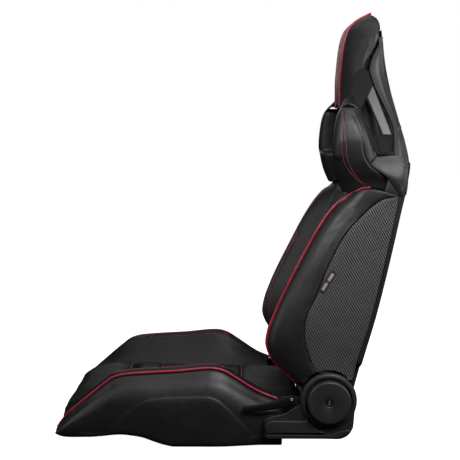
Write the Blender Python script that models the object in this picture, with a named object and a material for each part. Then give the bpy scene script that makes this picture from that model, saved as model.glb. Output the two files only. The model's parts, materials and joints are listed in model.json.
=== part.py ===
"""Reclining racing seat with a one-piece headrest.

Frame: +Z up, the seat faces -Y, +X is the occupant's left (the release lever's side).
The origin is the middle of the footprint, on the floor.  Metres.
The backrest and the release lever turn about one line along X.
"""

import math

import bmesh
import bpy
from mathutils import Vector

# ---- driving dimensions ---------------------------------------------------------------
GAP = 0.0003                      # clearance between neighbouring pieces
AXIS_Y = 0.1925                   # recliner axis
AXIS_Z = 0.107
SIDE_X = 0.249                    # outer face of the side upholstery
PAD_REAR = 0.046                  # pads end this far ahead of the rear silhouette
FRAME_BACK = 0.030                # frame tube centre ahead of the rear silhouette
SPLIT_Z = 0.530                   # seam between the lower back and the shoulders
SHOULDER_TOP = 0.603              # floor of the harness slots
SLOT_IN_X = 0.1285                # inboard side of a harness slot
SLOT_OUT_X = 0.184                # outboard side of a harness slot
PIPE_R = 0.0026                   # piping radius
TUBE_R = 0.0105                   # back frame tube
SHAFT_R = 0.0080                  # recliner synchronising shaft
SHAFT_HOLE = 0.0105
DISC_R = 0.0445                   # round cap over the recliner
RING_R = 0.0530                   # raised ring round the cap
CLEAR_R = 0.0585                  # the backrest upholstery stays outside this radius
CUSHION_FLOOR = 0.0310            # underside of the cushion foam
PAN_Z = (0.0256, 0.0286)
MEMBER_Z = (0.0053, 0.0253)
MOUNT_T = 0.0050


def clear_scene():
    for obj in list(bpy.data.objects):
        bpy.data.objects.remove(obj, do_unlink=True)


def curve(points):
    """Smooth monotone interpolation through (position, value) points."""
    xs = [p[0] for p in points]
    ys = [p[1] for p in points]
    n = len(xs)
    slope = [(ys[i + 1] - ys[i]) / (xs[i + 1] - xs[i]) for i in range(n - 1)]
    tangent = [slope[0]] + [0.0] * (n - 2) + [slope[-1]]
    for i in range(1, n - 1):
        if slope[i - 1] * slope[i] > 0.0:
            tangent[i] = 2.0 * slope[i - 1] * slope[i] / (slope[i - 1] + slope[i])

    def value(x):
        if x <= xs[0]:
            return ys[0]
        if x >= xs[-1]:
            return ys[-1]
        i = max(k for k in range(n - 1) if xs[k] <= x)
        h = xs[i + 1] - xs[i]
        t = (x - xs[i]) / h
        a = (1.0 + 2.0 * t) * (1.0 - t) ** 2
        b = t * (1.0 - t) ** 2
        c = t * t * (3.0 - 2.0 * t)
        d = t * t * (t - 1.0)
        return a * ys[i] + b * h * tangent[i] + c * ys[i + 1] + d * h * tangent[i + 1]

    return value


def spread(a, b, n):
    return [a + (b - a) * i / (n - 1) for i in range(n)]


# ---- outlines of the seat, along the height z or along the depth y ---------------------
# front tip of the lower back bolsters
bolster_front = curve([(0.117, 0.139), (0.136, 0.121), (0.167, 0.087), (0.194, 0.069), (0.215, 0.063),
                       (0.237, 0.066), (0.274, 0.078), (0.378, 0.127), (0.477, 0.182), (0.513, 0.213),
                       (0.530, 0.236)])
# front of the middle of the back, up to the headrest
centre_front = curve([(0.132, 0.150), (0.200, 0.125), (0.260, 0.130), (0.350, 0.165), (0.450, 0.212),
                      (0.530, 0.243), (0.630, 0.254), (0.705, 0.248)])
# rear silhouette
rear = curve([(0.110, 0.248), (0.180, 0.266), (0.283, 0.295), (0.411, 0.3245), (0.513, 0.3455),
              (0.594, 0.3610), (0.628, 0.3565), (0.672, 0.3465), (0.730, 0.3330), (0.801, 0.3175),
              (0.836, 0.3135), (0.880, 0.3110), (0.907, 0.3030)])
# seam between the smooth and the ribbed side panel
side_seam = curve([(0.146, 0.175), (0.174, 0.160), (0.205, 0.149), (0.240, 0.143), (0.270, 0.145),
                   (0.324, 0.168), (0.384, 0.191), (0.460, 0.234), (0.507, 0.289), (0.530, 0.334)])
# outer face of the side panels
side_face = curve([(0.136, 0.2405), (0.180, 0.2425), (0.250, 0.2475), (0.330, 0.2495), (0.450, 0.2485),
                   (0.530, 0.2460)])
# shoulder wings
wing_front = curve([(0.530, 0.223), (0.561, 0.210), (0.595, 0.202), (0.619, 0.200), (0.653, 0.2020),
                    (0.681, 0.2060), (0.704, 0.2160)])
wing_face = curve([(0.530, 0.2450), (0.570, 0.2500), (0.630, 0.2505), (0.680, 0.2370), (0.704, 0.2150)])
# headrest
head_front = curve([(0.705, 0.2250), (0.750, 0.2245), (0.800, 0.2278), (0.840, 0.2325), (0.857, 0.2365),
                    (0.872, 0.2425), (0.885, 0.2540), (0.897, 0.2720), (0.907, 0.2930)])
head_half = curve([(0.705, 0.116), (0.760, 0.120), (0.810, 0.124), (0.845, 0.121), (0.872, 0.108),
                   (0.891, 0.084), (0.902, 0.052), (0.907, 0.022)])
# top of the cushion bolsters along y, the cushion's middle, and the side panels' lower edge
cushion_top = curve([(-0.378, 0.0285), (-0.364, 0.0485), (-0.351, 0.0640), (-0.325, 0.0875), (-0.300, 0.1090),
                     (-0.2745, 0.1300), (-0.256, 0.1435), (-0.235, 0.1500), (-0.198, 0.1535), (-0.123, 0.1580),
                     (-0.050, 0.1642), (-0.038, 0.1630), (-0.023, 0.1585), (0.002, 0.1435), (0.027, 0.1268),
                     (0.052, 0.1120), (0.098, 0.0940)])
cushion_mid = curve([(-0.378, 0.046), (-0.370, 0.062), (-0.354, 0.078), (-0.320, 0.092), (-0.275, 0.100),
                     (-0.200, 0.098), (-0.100, 0.094), (0.000, 0.092), (0.090, 0.090), (0.138, 0.085)])
skirt_low = curve([(-0.378, 0.0215), (-0.363, 0.0185), (-0.322, 0.0210), (-0.280, 0.0255), (-0.238, 0.0300),
                   (-0.197, 0.0255), (-0.166, 0.0150), (-0.145, 0.0085), (-0.125, 0.0050), (0.098, 0.0050)])
cushion_half = curve([(-0.378, 0.215), (-0.345, 0.234), (-0.290, 0.2455), (-0.200, SIDE_X), (-0.060, SIDE_X),
                      (0.020, 0.2440), (0.055, 0.2390), (0.098, 0.2385)])


# ---- building blocks -------------------------------------------------------------------
def material(name, colour, roughness, metallic=0.0):
    mat = bpy.data.materials.new(name)
    mat.use_nodes = True
    shader = mat.node_tree.nodes["Principled BSDF"]
    shader.inputs["Base Color"].default_value = (*colour, 1.0)
    shader.inputs["Roughness"].default_value = roughness
    shader.inputs["Metallic"].default_value = metallic
    mat.diffuse_color = (*colour, 1.0)
    return mat


def axis_empty(name):
    """An empty on the recliner axis, the parent of the pieces that turn about it."""
    empty = bpy.data.objects.new(name, None)
    empty.location = (0.0, AXIS_Y, AXIS_Z)
    bpy.context.collection.objects.link(empty)
    return empty


def solid(name, verts, faces, mat, parent=None):
    """One closed mesh object from world positions, carried by its parent empty if it has one."""
    offset = Vector(parent.location) if parent else Vector((0.0, 0.0, 0.0))
    mesh = bpy.data.meshes.new(name)
    mesh.from_pydata([Vector(v) - offset for v in verts], [], faces)
    bm = bmesh.new()
    bm.from_mesh(mesh)
    bmesh.ops.recalc_face_normals(bm, faces=bm.faces)
    bm.to_mesh(mesh)
    bm.free()
    mesh.materials.append(mat)
    mesh.shade_smooth()
    mesh.set_sharp_from_angle(angle=math.radians(35.0))
    obj = bpy.data.objects.new(name, mesh)
    bpy.context.collection.objects.link(obj)
    obj.parent = parent
    return obj


def loft(name, rings, mat, parent=None):
    """A skin over rings of equal point counts, closed by a flat cap at each end."""
    n = len(rings[0])
    verts = [v for ring in rings for v in ring]
    faces = []
    for r in range(len(rings) - 1):
        for i in range(n):
            j = (i + 1) % n
            faces.append((r * n + i, r * n + j, (r + 1) * n + j, (r + 1) * n + i))
    faces.append(tuple(range(n)))
    faces.append(tuple((len(rings) - 1) * n + i for i in range(n)))
    return solid(name, verts, faces, mat, parent)


def both_sides(make, stem, *args):
    """The left (+X) piece and its mirror image on the right."""
    return [make(stem + "_L", 1.0, *args), make(stem + "_R", -1.0, *args)]


def tube(name, path, radius, mat, parent=None, sides=10):
    """A round bar along a path of positions, with a frame carried along without twist."""
    pts = [Vector(p) for p in path]
    tangents = []
    for i in range(len(pts)):
        ahead = pts[min(i + 1, len(pts) - 1)]
        behind = pts[max(i - 1, 0)]
        tangents.append((ahead - behind).normalized())
    side = tangents[0].orthogonal().normalized()
    rings = []
    for p, t in zip(pts, tangents):
        side = (side - t * side.dot(t)).normalized()
        up = t.cross(side)
        ring = []
        for k in range(sides):
            a = 2.0 * math.pi * k / sides
            ring.append(p + radius * (math.cos(a) * side + math.sin(a) * up))
        rings.append(ring)
    return loft(name, rings, mat, parent)


def turned(name, profile, mat, parent=None, sides=40):
    """A piece turned about the recliner axis from (x, radius) points."""
    rings = []
    for x, radius in profile:
        ring = []
        for k in range(sides):
            a = 2.0 * math.pi * k / sides
            ring.append((x, AXIS_Y + radius * math.cos(a), AXIS_Z + radius * math.sin(a)))
        rings.append(ring)
    return loft(name, rings, mat, parent)


def slab(name, outline, x0, x1, mat, parent=None, lean=None):
    """A plate with a (y, z) outline between two x planes; lean(z) moves it in x."""
    lean = lean or (lambda z: 0.0)
    rings = [[(x + lean(z), y, z) for y, z in outline] for x in (x0, x1)]
    return loft(name, rings, mat, parent)


def bar(name, x, y, z, mat, parent=None):
    """A rectangular block between the given limits."""
    ring = [(x[0], z[0]), (x[1], z[0]), (x[1], z[1]), (x[0], z[1])]
    return loft(name, [[(a, q, b) for a, b in ring] for q in y], mat, parent)


def cut(obj, cutter):
    """Remove the cutter from the piece; the cutter is only a guide."""
    cutter.hide_render = True
    cutter.display_type = "WIRE"
    boolean = obj.modifiers.new("cut_" + cutter.name, "BOOLEAN")
    boolean.operation = "DIFFERENCE"
    boolean.solver = "EXACT"
    boolean.object = cutter
    return obj


def join(obj, other):
    """Unite the other shape with the piece; the other shape is only a guide."""
    other.hide_render = True
    other.display_type = "WIRE"
    boolean = obj.modifiers.new("join_" + other.name, "BOOLEAN")
    boolean.operation = "UNION"
    boolean.solver = "EXACT"
    boolean.object = other
    return obj


def arc(radius, start, end, n, centre=(AXIS_Y, AXIS_Z)):
    """Points (y, z) on an arc, angles in degrees from +Y towards +Z."""
    pts = []
    for a in spread(start, end, n):
        r = math.radians(a)
        pts.append((centre[0] + radius * math.cos(r), centre[1] + radius * math.sin(r)))
    return pts


def axis_drill(name, x0, x1, radius, mat, parent=None):
    return turned(name, [(x0, radius), (x1, radius)], mat, parent, sides=24)


clear_scene()

LEATHER = material("leatherette", (0.018, 0.018, 0.019), 0.42)
RIBBED = material("ribbed_vinyl", (0.022, 0.022, 0.023), 0.55)
PIPING = material("red_piping", (0.36, 0.012, 0.035), 0.45)
PLASTIC = material("satin_plastic", (0.020, 0.020, 0.021), 0.38)
SHELL = material("shell_vinyl", (0.015, 0.015, 0.016), 0.50)
STEEL = material("black_steel", (0.025, 0.025, 0.027), 0.45, 0.6)
ZINC = material("zinc_steel", (0.42, 0.42, 0.43), 0.35, 1.0)
TAG = material("tag_fabric", (0.016, 0.016, 0.017), 0.80)

BACK = axis_empty("backrest_axis")
LEVER = axis_empty("lever_axis")


# ---- seat base: mounting bars, members, tubes, pan, springs -----------------------------
def mount_bar(name, s):
    x = sorted((s * 0.115, s * 0.150))
    piece = bar(name, x, (-0.165, 0.222), (0.0, MOUNT_T), ZINC)
    for tag, y in (("front", -0.130), ("rear", 0.175)):
        ring = [(s * 0.1325 + 0.0045 * math.cos(a), y + 0.0045 * math.sin(a))
                for a in spread(0.0, 2.0 * math.pi * 15 / 16, 16)]
        hole = loft(name + "_hole_" + tag, [[(px, py, z) for px, py in ring] for z in (-0.002, MOUNT_T + 0.002)],
                    ZINC)
        cut(piece, hole)
    return piece


def side_member(name, s):
    x = sorted((s * 0.118, s * 0.147))
    return bar(name, x, (-0.170, 0.235), MEMBER_Z, STEEL)


both_sides(mount_bar, "mount_bar")
both_sides(side_member, "side_member")
tube("front_cross_tube", [(-0.1177, -0.150, 0.0153), (0.1177, -0.150, 0.0153)], 0.0090, STEEL, sides=16)
tube("rear_cross_tube", [(-0.2327, 0.155, 0.0363), (0.2327, 0.155, 0.0363)], 0.0100, STEEL, sides=16)

bar("front_pan", (-0.192, 0.192), (-0.335, -0.145), PAN_Z, STEEL)
bar("rear_pan", (-0.192, 0.192), (0.070, 0.148), PAN_Z, STEEL)


def sinuous_spring(name, x0):
    """A zigzag wire from the front pan to the rear one."""
    path = []
    turns = 6
    for i in range(5 * turns + 1):
        t = i / (5 * turns)
        y = -0.1410 + 0.2070 * t
        ends = min(1.0, 12.0 * t, 12.0 * (1.0 - t))
        path.append((x0 + 0.016 * ends * math.sin(2.0 * math.pi * turns * t), y, 0.0276))
    return tube(name, path, 0.0018, ZINC, sides=6)


for label, x0 in (("R", -0.080), ("C", 0.0), ("L", 0.080)):
    sinuous_spring("seat_spring_" + label, x0)


# ---- cushion ---------------------------------------------------------------------------
CUSHION_HALF = 0.145              # half width of the cushion's middle


def middle_ring(y, floor):
    top = cushion_mid(y)
    w = CUSHION_HALF - GAP
    half = [(w, floor), (w, top - 0.010), (w - 0.010, top - 0.002), (0.090, top - 0.001), (0.045, top - 0.004)]
    ring = half + [(0.0, top - 0.005)] + [(-x, z) for x, z in reversed(half)]
    return [(x, y, z) for x, z in ring]


THIGH_Y = spread(-0.366, -0.2350, 10)
SEAT_Y = spread(-0.2350 + GAP, 0.138, 10)
loft("thigh_roll", [middle_ring(y, CUSHION_FLOOR) for y in THIGH_Y], LEATHER)
loft("seat_centre", [middle_ring(y, CUSHION_FLOOR) for y in SEAT_Y], LEATHER)


def bolster_inset(y):
    """The bolster's narrowing towards the nose of the cushion."""
    return cushion_half(y) - SIDE_X


def steepness(y):
    """How much taller a section across y cuts the sloping top edge than a square one."""
    slope = (cushion_top(y + 0.002) - cushion_top(y - 0.002)) / 0.004
    return min(2.2, math.hypot(1.0, slope))


def cushion_bolster(name, s):
    rings = []
    for y in [-0.366, -0.360, -0.351, -0.338] + spread(-0.313, -0.030, 11) + [-0.010, 0.016, 0.045, 0.078]:
        top = cushion_top(y)
        mid = cushion_mid(y)
        dx = bolster_inset(y)
        low = CUSHION_FLOOR
        span = top - low
        ring = [
            (CUSHION_HALF, low),
            (0.228 + dx, low),
            (0.229 + dx, low + 0.40 * span),
            (0.221 + dx, low + 0.75 * span),
            (0.2100 + dx, top - 0.0050 * steepness(y)),
            (0.204 + dx, top + 0.0010),
            (0.190 + 0.6 * dx, top + 0.0042 * steepness(y)),
            (0.172 + 0.3 * dx, 0.55 * top + 0.45 * mid + 0.003),
            (CUSHION_HALF + 0.008, 0.15 * top + 0.85 * mid),
            (CUSHION_HALF, mid - 0.008),
        ]
        rings.append([(s * x, y, z) for x, z in ring])
    return loft(name, rings, LEATHER)


def cushion_skirt(name, s):
    rings = []
    for y in [-0.378, -0.373, -0.366, -0.360, -0.351, -0.338] + spread(-0.313, -0.030, 11) + [-0.010, 0.016, 0.045, 0.075, 0.098]:
        top = cushion_top(y)
        dx = bolster_inset(y)
        out = cushion_half(y)
        low = skirt_low(y)
        span = top - low
        foam_low = min(CUSHION_FLOOR, top - 0.0060)
        foam_span = top - foam_low
        ring = [
            (0.2295 + dx, low),
            (0.2302 + dx, foam_low + 0.40 * foam_span),
            (0.2225 + dx, foam_low + 0.75 * foam_span),
            (0.2155 + dx, top - 0.0065 * steepness(y)),
            (0.2190 + dx, top - 0.0048 * steepness(y)),
            (0.2330 + dx, top - 0.16 * span - 0.004),
            (out - 0.004, top - 0.38 * span),
            (out, low + 0.38 * span),
            (out - 0.002, low + 0.15 * span),
            (out - 0.006, low),
        ]
        rings.append([(s * x, y, z) for x, z in ring])
    return loft(name, rings, LEATHER)


def cushion_piping(name, s):
    path = []
    for y in [-0.3755, -0.364, -0.351, -0.338] + spread(-0.320, -0.040, 10) + [-0.022, 0.000, 0.026, 0.050, 0.072]:
        path.append((s * (0.2152 + bolster_inset(y)), y, cushion_top(y) - 0.0005))
    return tube(name, path, PIPE_R, PIPING, sides=6)


both_sides(cushion_bolster, "cushion_bolster")
both_sides(cushion_skirt, "cushion_side_panel")
both_sides(cushion_piping, "cushion_piping")


# ---- recliners -------------------------------------------------------------------------
def fixed_plate(name, s):
    outline = [(0.1250, 0.0265), (0.2080, 0.0265), (0.2150, 0.0300), (0.2330, 0.0520), (0.2365, 0.0700)]
    outline += arc(0.0440, 0.0, 180.0, 19)
    outline += [(0.1420, 0.0850), (0.1250, 0.0600)]
    x = sorted((s * 0.2330, s * 0.2385))
    piece = slab(name, outline, x[0], x[1], STEEL)
    return cut(piece, axis_drill(name + "_drill", x[0] - 0.002, x[1] + 0.002, SHAFT_HOLE, STEEL))


def moving_plate(name, s):
    outline = arc(0.0400, 150.0, 405.0 - 20.0, 20)
    outline += [(0.2780, 0.2800), (0.2720, 0.2950), (0.2560, 0.2960), (0.2300, 0.2050)]
    x = sorted((s * 0.2245, s * 0.2300))
    piece = slab(name, outline, x[0], x[1], STEEL, BACK)
    return cut(piece, axis_drill(name + "_drill", x[0] - 0.002, x[1] + 0.002, SHAFT_HOLE, STEEL, BACK))


def side_cover(name, s):
    """A face plate with a rim all round but for the lever's mouth, and a raised ring round the cap."""
    corner = (0.2100, 0.0600)
    face = [(0.0640, 0.0260), (0.2100, 0.0260)]
    face += arc(0.0340, -90.0, 0.0, 8, corner)
    face += arc(0.0570, -20.0, 186.0, 24)
    face += [(0.0985, 0.0770), (0.0640, 0.0740), (0.0610, 0.0700), (0.0610, 0.0300)]
    x = sorted((s * 0.2585, s * 0.2620))
    piece = slab(name, face, x[0], x[1], PLASTIC)
    rim = [(0.0610, 0.0300), (0.0640, 0.0260), (0.2100, 0.0260)]
    rim += arc(0.0340, -90.0, 0.0, 8, corner)
    rim += arc(0.0570, -20.0, 0.0, 4)
    rim += arc(0.0540, 0.0, -20.0, 4)
    rim += arc(0.0310, 0.0, -90.0, 8, corner)
    rim += [(0.0645, 0.0295), (0.0645, 0.0700), (0.0975, 0.0728), (0.0985, 0.0770), (0.0640, 0.0740),
            (0.0610, 0.0700)]
    r = sorted((s * 0.2400, s * 0.2600))
    join(piece, slab(name + "_rim", rim, r[0], r[1], PLASTIC))
    ring = turned(name + "_ring", [(s * 0.2600, RING_R), (s * 0.2690, RING_R), (s * 0.2700, RING_R - 0.001),
                                   (s * 0.2700, RING_R - 0.0045), (s * 0.2600, RING_R - 0.0060)], PLASTIC)
    join(piece, ring)
    bore = [(s * 0.2500, 0.0150), (s * 0.2622, 0.0150), (s * 0.2623, 0.0465), (s * 0.2750, 0.0475)]
    return cut(piece, turned(name + "_bore", bore, PLASTIC))


both_sides(fixed_plate, "recliner_fixed_plate")
both_sides(moving_plate, "recliner_moving_plate")
both_sides(side_cover, "recliner_cover")

# spiral counterbalance spring behind the right cover
spiral = []
for i in range(49):
    a = 2.0 * math.pi * i / 16.0
    spiral.append((0.0150 + 0.0055 * i / 16.0, a))
inner = [(AXIS_Y + r * math.cos(a), AXIS_Z + r * math.sin(a)) for r, a in spiral]
outer = [(AXIS_Y + (r + 0.002) * math.cos(a), AXIS_Z + (r + 0.002) * math.sin(a)) for r, a in spiral]
slab("counterbalance_spring", inner + outer[::-1], -0.2530, -0.2430, ZINC)

# release lever: a flat arm on the shaft and a moulded grip on its outer side
arm = [(0.0960, 0.0985), (0.1400, 0.0980)]
arm += arc(0.0180, 230.0, 490.0, 18)
arm += [(0.1400, 0.1130), (0.0960, 0.1120)]
lever_arm = slab("lever_arm", arm, 0.2440, 0.2480, STEEL, LEVER)
cut(lever_arm, axis_drill("lever_drill", 0.2420, 0.2500, SHAFT_R + GAP, STEEL, LEVER))


def grip_ring(t):
    """A rounded section of the grip, t from its root to its tip."""
    y = 0.1220 - 0.1060 * t
    z = 0.1080 - 0.0210 * t - 0.0040 * math.sin(math.pi * t)
    tall = 0.0112 - 0.0066 * t
    x0 = 0.2484
    x1 = 0.2615 - 0.0030 * t
    if t < 0.03 or t > 0.97:
        tall *= 0.70
        x1 -= 0.0030
    ring = []
    for k in range(12):
        a = 2.0 * math.pi * (k + 0.5) / 12
        cx = max(-0.85, min(0.85, 1.15 * math.cos(a))) / 0.85
        cz = max(-0.85, min(0.85, 1.15 * math.sin(a))) / 0.85
        ring.append((0.5 * (x0 + x1) + 0.5 * (x1 - x0) * cx, y, z + tall * cz))
    return ring


loft("lever_grip", [grip_ring(t) for t in [0.0, 0.03] + spread(0.12, 0.90, 8) + [0.97, 1.0]], PLASTIC, LEVER)
tube("lever_stop_peg", [(0.2520, 0.0946, 0.0772), (0.2520, 0.0946, 0.0880)], 0.0026, STEEL, sides=12)

# the lever turns this shaft, which unlocks the recliners on both sides
tube("recliner_shaft", [(-0.2560, AXIS_Y, AXIS_Z), (0.2560, AXIS_Y, AXIS_Z)], SHAFT_R, ZINC, LEVER, sides=24)


def recliner_cap(name, s):
    face = [(0.2595, 0.0120), (0.2650, 0.0125), (0.2640, 0.0430), (0.2645, DISC_R), (0.2800, DISC_R),
            (0.2830, DISC_R - 0.0012), (0.2847, DISC_R - 0.0038), (0.2850, DISC_R - 0.0070), (0.2850, 0.0085),
            (0.2843, 0.0075), (0.2740, 0.0070)]
    return turned(name, [(s * x, r) for x, r in face], PLASTIC)


def cap_screw(name, s):
    face = [(0.2743, 0.0052), (0.2788, 0.0050), (0.2800, 0.0036), (0.2804, 0.0015)]
    return turned(name, [(s * x, r) for x, r in face], ZINC, sides=12)


both_sides(recliner_cap, "recliner_cap")
both_sides(cap_screw, "cap_screw")


# ---- backrest: frame -------------------------------------------------------------------
def frame_y(z):
    return rear(z) - FRAME_BACK


hoop = [(0.2135, frame_y(z), z) for z in spread(0.165, 0.540, 8)]
for a in spread(0.0, 90.0, 5):
    r = math.radians(a)
    z = 0.548 + 0.030 * math.sin(r)
    hoop.append((0.1835 + 0.030 * math.cos(r), frame_y(z), z))
hoop = hoop + [(-x, y, z) for x, y, z in reversed(hoop)]
tube("back_frame_hoop", hoop, TUBE_R, STEEL, BACK, sides=10)
tube("lower_back_tube", [(-0.2025, frame_y(0.205), 0.205), (0.2025, frame_y(0.205), 0.205)], 0.0080, STEEL, BACK,
     sides=12)

mat_rings = []
for z in spread(0.235, 0.400, 8):
    y = frame_y(z)
    mat_rings.append([(-0.155, y - 0.002, z), (0.155, y - 0.002, z), (0.155, y + 0.001, z), (-0.155, y + 0.001, z)])
loft("lumbar_mat", mat_rings, STEEL, BACK)

post = [(0.0550, rear(z) - 0.028, z) for z in spread(0.5910, 0.830, 6)]
for a in spread(0.0, 90.0, 4):
    r = math.radians(a)
    z = 0.838 + 0.020 * math.sin(r)
    post.append((0.0350 + 0.020 * math.cos(r), rear(z) - 0.028, z))
post = post + [(-x, y, z) for x, y, z in reversed(post)]
tube("headrest_hoop", post, 0.0070, STEEL, BACK, sides=8)


# ---- backrest: lower back --------------------------------------------------------------
BACK_Z = [0.119, 0.136, 0.145, 0.160, 0.180, 0.200, 0.222, 0.250, 0.285, 0.320, 0.360, 0.400, 0.440, 0.480, 0.508,
          0.518, SPLIT_Z - GAP]


def back_middle_ring(z, w):
    front = centre_front(z)
    back = rear(z) - PAD_REAR
    half = [(w, back), (w, front + 0.010), (w - 0.010, front + 0.002), (0.6 * w, front), (0.3 * w, front + 0.004)]
    ring = half + [(0.0, front + 0.005)] + [(-x, y) for x, y in reversed(half)]
    return [(x, y, z) for x, y in ring]


loft("back_centre", [back_middle_ring(z, CUSHION_HALF - GAP) for z in BACK_Z], LEATHER, BACK)


def cheek_step(z):
    """How far behind its front the bolster reaches its full width."""
    front = bolster_front(z)
    return min(0.060, 0.6 * (rear(z) - PAD_REAR - front), side_seam(z) - 0.006 - front)


def back_bolster(name, s):
    rings = []
    limit = curve([(0.300, 0.2225), (0.330, 0.2315)])
    for z in BACK_Z:
        front = bolster_front(z)
        back = rear(z) - PAD_REAR
        mid = centre_front(z)
        out = limit(z)
        step = cheek_step(z)
        ring = [
            (CUSHION_HALF, back),
            (CUSHION_HALF, max(mid + 0.006, front + 0.012)),
            (0.158, 0.75 * mid + 0.25 * front + 0.004),
            (0.176, 0.30 * mid + 0.70 * front + 0.002),
            (0.192, front + 0.0005),
            (0.2010, front + 0.0020),
            (0.2070, front + 0.0085),
            (min(0.2210, out), front + 0.42 * step),
            (out, front + step),
            (out, back),
        ]
        rings.append([(s * x, y, z) for x, y in ring])
    return loft(name, rings, LEATHER, BACK)


def smooth_side_panel(name, s):
    rings = []
    for z in BACK_Z[1:]:
        front = bolster_front(z)
        seam = side_seam(z) - GAP
        face = side_face(z)
        mid = front + cheek_step(z)
        near = front + 0.42 * (mid - front)
        ring = [
            (0.2340, seam),
            (0.2340, mid - 0.004),
            (0.2240, near - 0.001),
            (0.2105, front + 0.0090),
            (0.2145, front + 0.0070),
            (0.55 * 0.2145 + 0.45 * face, front + 0.25 * (mid - front) + 0.004),
            (0.20 * 0.2145 + 0.80 * face, 0.5 * (near + mid)),
            (face, 0.4 * mid + 0.6 * seam),
            (face, seam),
        ]
        rings.append([(s * x, y, z) for x, y in ring])
    piece = loft(name, rings, LEATHER, BACK)
    x = sorted((s * 0.2300, s * 0.2600))
    return cut(piece, axis_drill(name + "_relief", x[0], x[1], CLEAR_R, LEATHER, BACK))


def ribbed_side_panel(name, s):
    rings = []
    for z in BACK_Z[2:-1]:
        seam = side_seam(z)
        edge = rear(z) - 0.0145
        face = side_face(z)
        ring = [(0.2335, seam), (face, seam), (face - 0.0005, 0.5 * (seam + edge)), (face - 0.0030, edge),
                (0.2335, edge)]
        rings.append([(s * x, y, z) for x, y in ring])
    piece = loft(name, rings, RIBBED, BACK)
    x = sorted((s * 0.2300, s * 0.2600))
    return cut(piece, axis_drill(name + "_relief", x[0], x[1], CLEAR_R, RIBBED, BACK))


def back_piping(name, s):
    path = []
    for z in [0.134, 0.150, 0.166, 0.182, 0.198, 0.214, 0.232, 0.255] + spread(0.285, 0.505, 9) + [0.517, 0.5265]:
        path.append((s * 0.2088, bolster_front(z) + 0.0028, z))
    return tube(name, path, PIPE_R, PIPING, BACK, sides=6)


both_sides(back_bolster, "back_bolster")
both_sides(smooth_side_panel, "side_panel_smooth")
both_sides(ribbed_side_panel, "side_panel_ribbed")
both_sides(back_piping, "back_piping")


shell_half = curve([(0.115, 0.2210), (0.165, 0.2225), (0.180, 0.2435), (0.530, 0.2440)])


def shell_ring(z):
    """A shallow channel section: the rear face and the two edges turned forward."""
    y = rear(z)
    w = shell_half(z)
    outer_half = [(w, y - 0.0140), (w - 0.0005, y - 0.0060), (w - 0.0100, y - 0.0005), (0.74 * w, y + 0.0030),
                  (0.37 * w, y + 0.0055)]
    inner_half = [(0.37 * w, y + 0.0010), (0.74 * w, y - 0.0015), (w - 0.0130, y - 0.0050),
                  (w - 0.0055, y - 0.0090), (w - 0.0050, y - 0.0140)]
    ring = outer_half + [(0.0, y + 0.0065)] + [(-a, b) for a, b in reversed(outer_half)]
    ring += [(-a, b) for a, b in reversed(inner_half)] + [(0.0, y + 0.0020)] + inner_half
    return [(a, b, z) for a, b in ring]


loft("rear_shell", [shell_ring(z) for z in [0.115, 0.140, 0.164, 0.172, 0.181] + spread(0.205, SPLIT_Z - GAP, 9)], SHELL, BACK)


# ---- backrest: shoulders and headrest ---------------------------------------------------
SHOULDER_Z = [SPLIT_Z, 0.545, 0.562, 0.582, SHOULDER_TOP]


def wing_rear(z):
    if z <= SHOULDER_TOP:
        return rear(z) - PAD_REAR
    return 0.285 - 0.363 * (z - SHOULDER_TOP)


def shoulder_wing(name, s):
    rings = []
    for z in [*SHOULDER_Z, SHOULDER_TOP + 0.003, 0.622, 0.642, 0.662, 0.680,
              0.694, 0.704]:
        front = wing_front(z)
        back = wing_rear(z)
        face = wing_face(z)
        inner = 0.151 if z <= SHOULDER_TOP else SLOT_OUT_X
        depth = back - front
        lean = 0.30 * (face - inner)
        ring = [
            (inner, back),
            (inner, front + 0.34 * depth),
            (inner + 0.25 * lean, front + 0.12 * depth),
            (inner + lean, front + 0.01 * depth),
            (face - 0.85 * lean, front),
            (face - 0.35 * lean, front + 0.10 * depth),
            (face - 0.08 * lean, front + 0.28 * depth),
            (face, front + 0.50 * depth),
            (face - 0.002, back),
        ]
        rings.append([(s * x, y, z) for x, y in ring])
    return loft(name, rings, LEATHER, BACK)


both_sides(shoulder_wing, "shoulder_wing")

UPPER_Z = [*SHOULDER_Z, SHOULDER_TOP + 0.003, 0.630, 0.655, 0.680, 0.7035]
loft("upper_back_centre",
     [back_middle_ring(z, 0.1505 if z <= SHOULDER_TOP else 0.1200) for z in UPPER_Z], LEATHER, BACK)


def head_ring(z):
    """A section of the headrest cushion; above 0.869 it reaches the rear silhouette."""
    w = head_half(z)
    front = head_front(z)
    back = rear(z) - 0.0410 if z < 0.8690 else rear(z) + 0.001
    depth = back - front
    half = [(0.80 * w, back), (w, back - 0.16 * depth), (0.94 * w, front + 0.66 * depth),
            (0.80 * w, front + 0.42 * depth), (0.60 * w, front + 0.20 * depth), (0.44 * w, front + 0.08 * depth),
            (0.24 * w, front + 0.01 * depth)]
    ring = half + [(0.0, front)] + [(-a, b) for a, b in reversed(half)]
    return [(a, b, z) for a, b in ring]


loft("headrest_pad", [head_ring(z) for z in [0.7040, 0.720, 0.745, 0.770, 0.795, 0.820, 0.840, 0.855, 0.8680,
                                             0.8695, 0.880, 0.890, 0.898, 0.904, 0.9075]], LEATHER, BACK)


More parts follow.
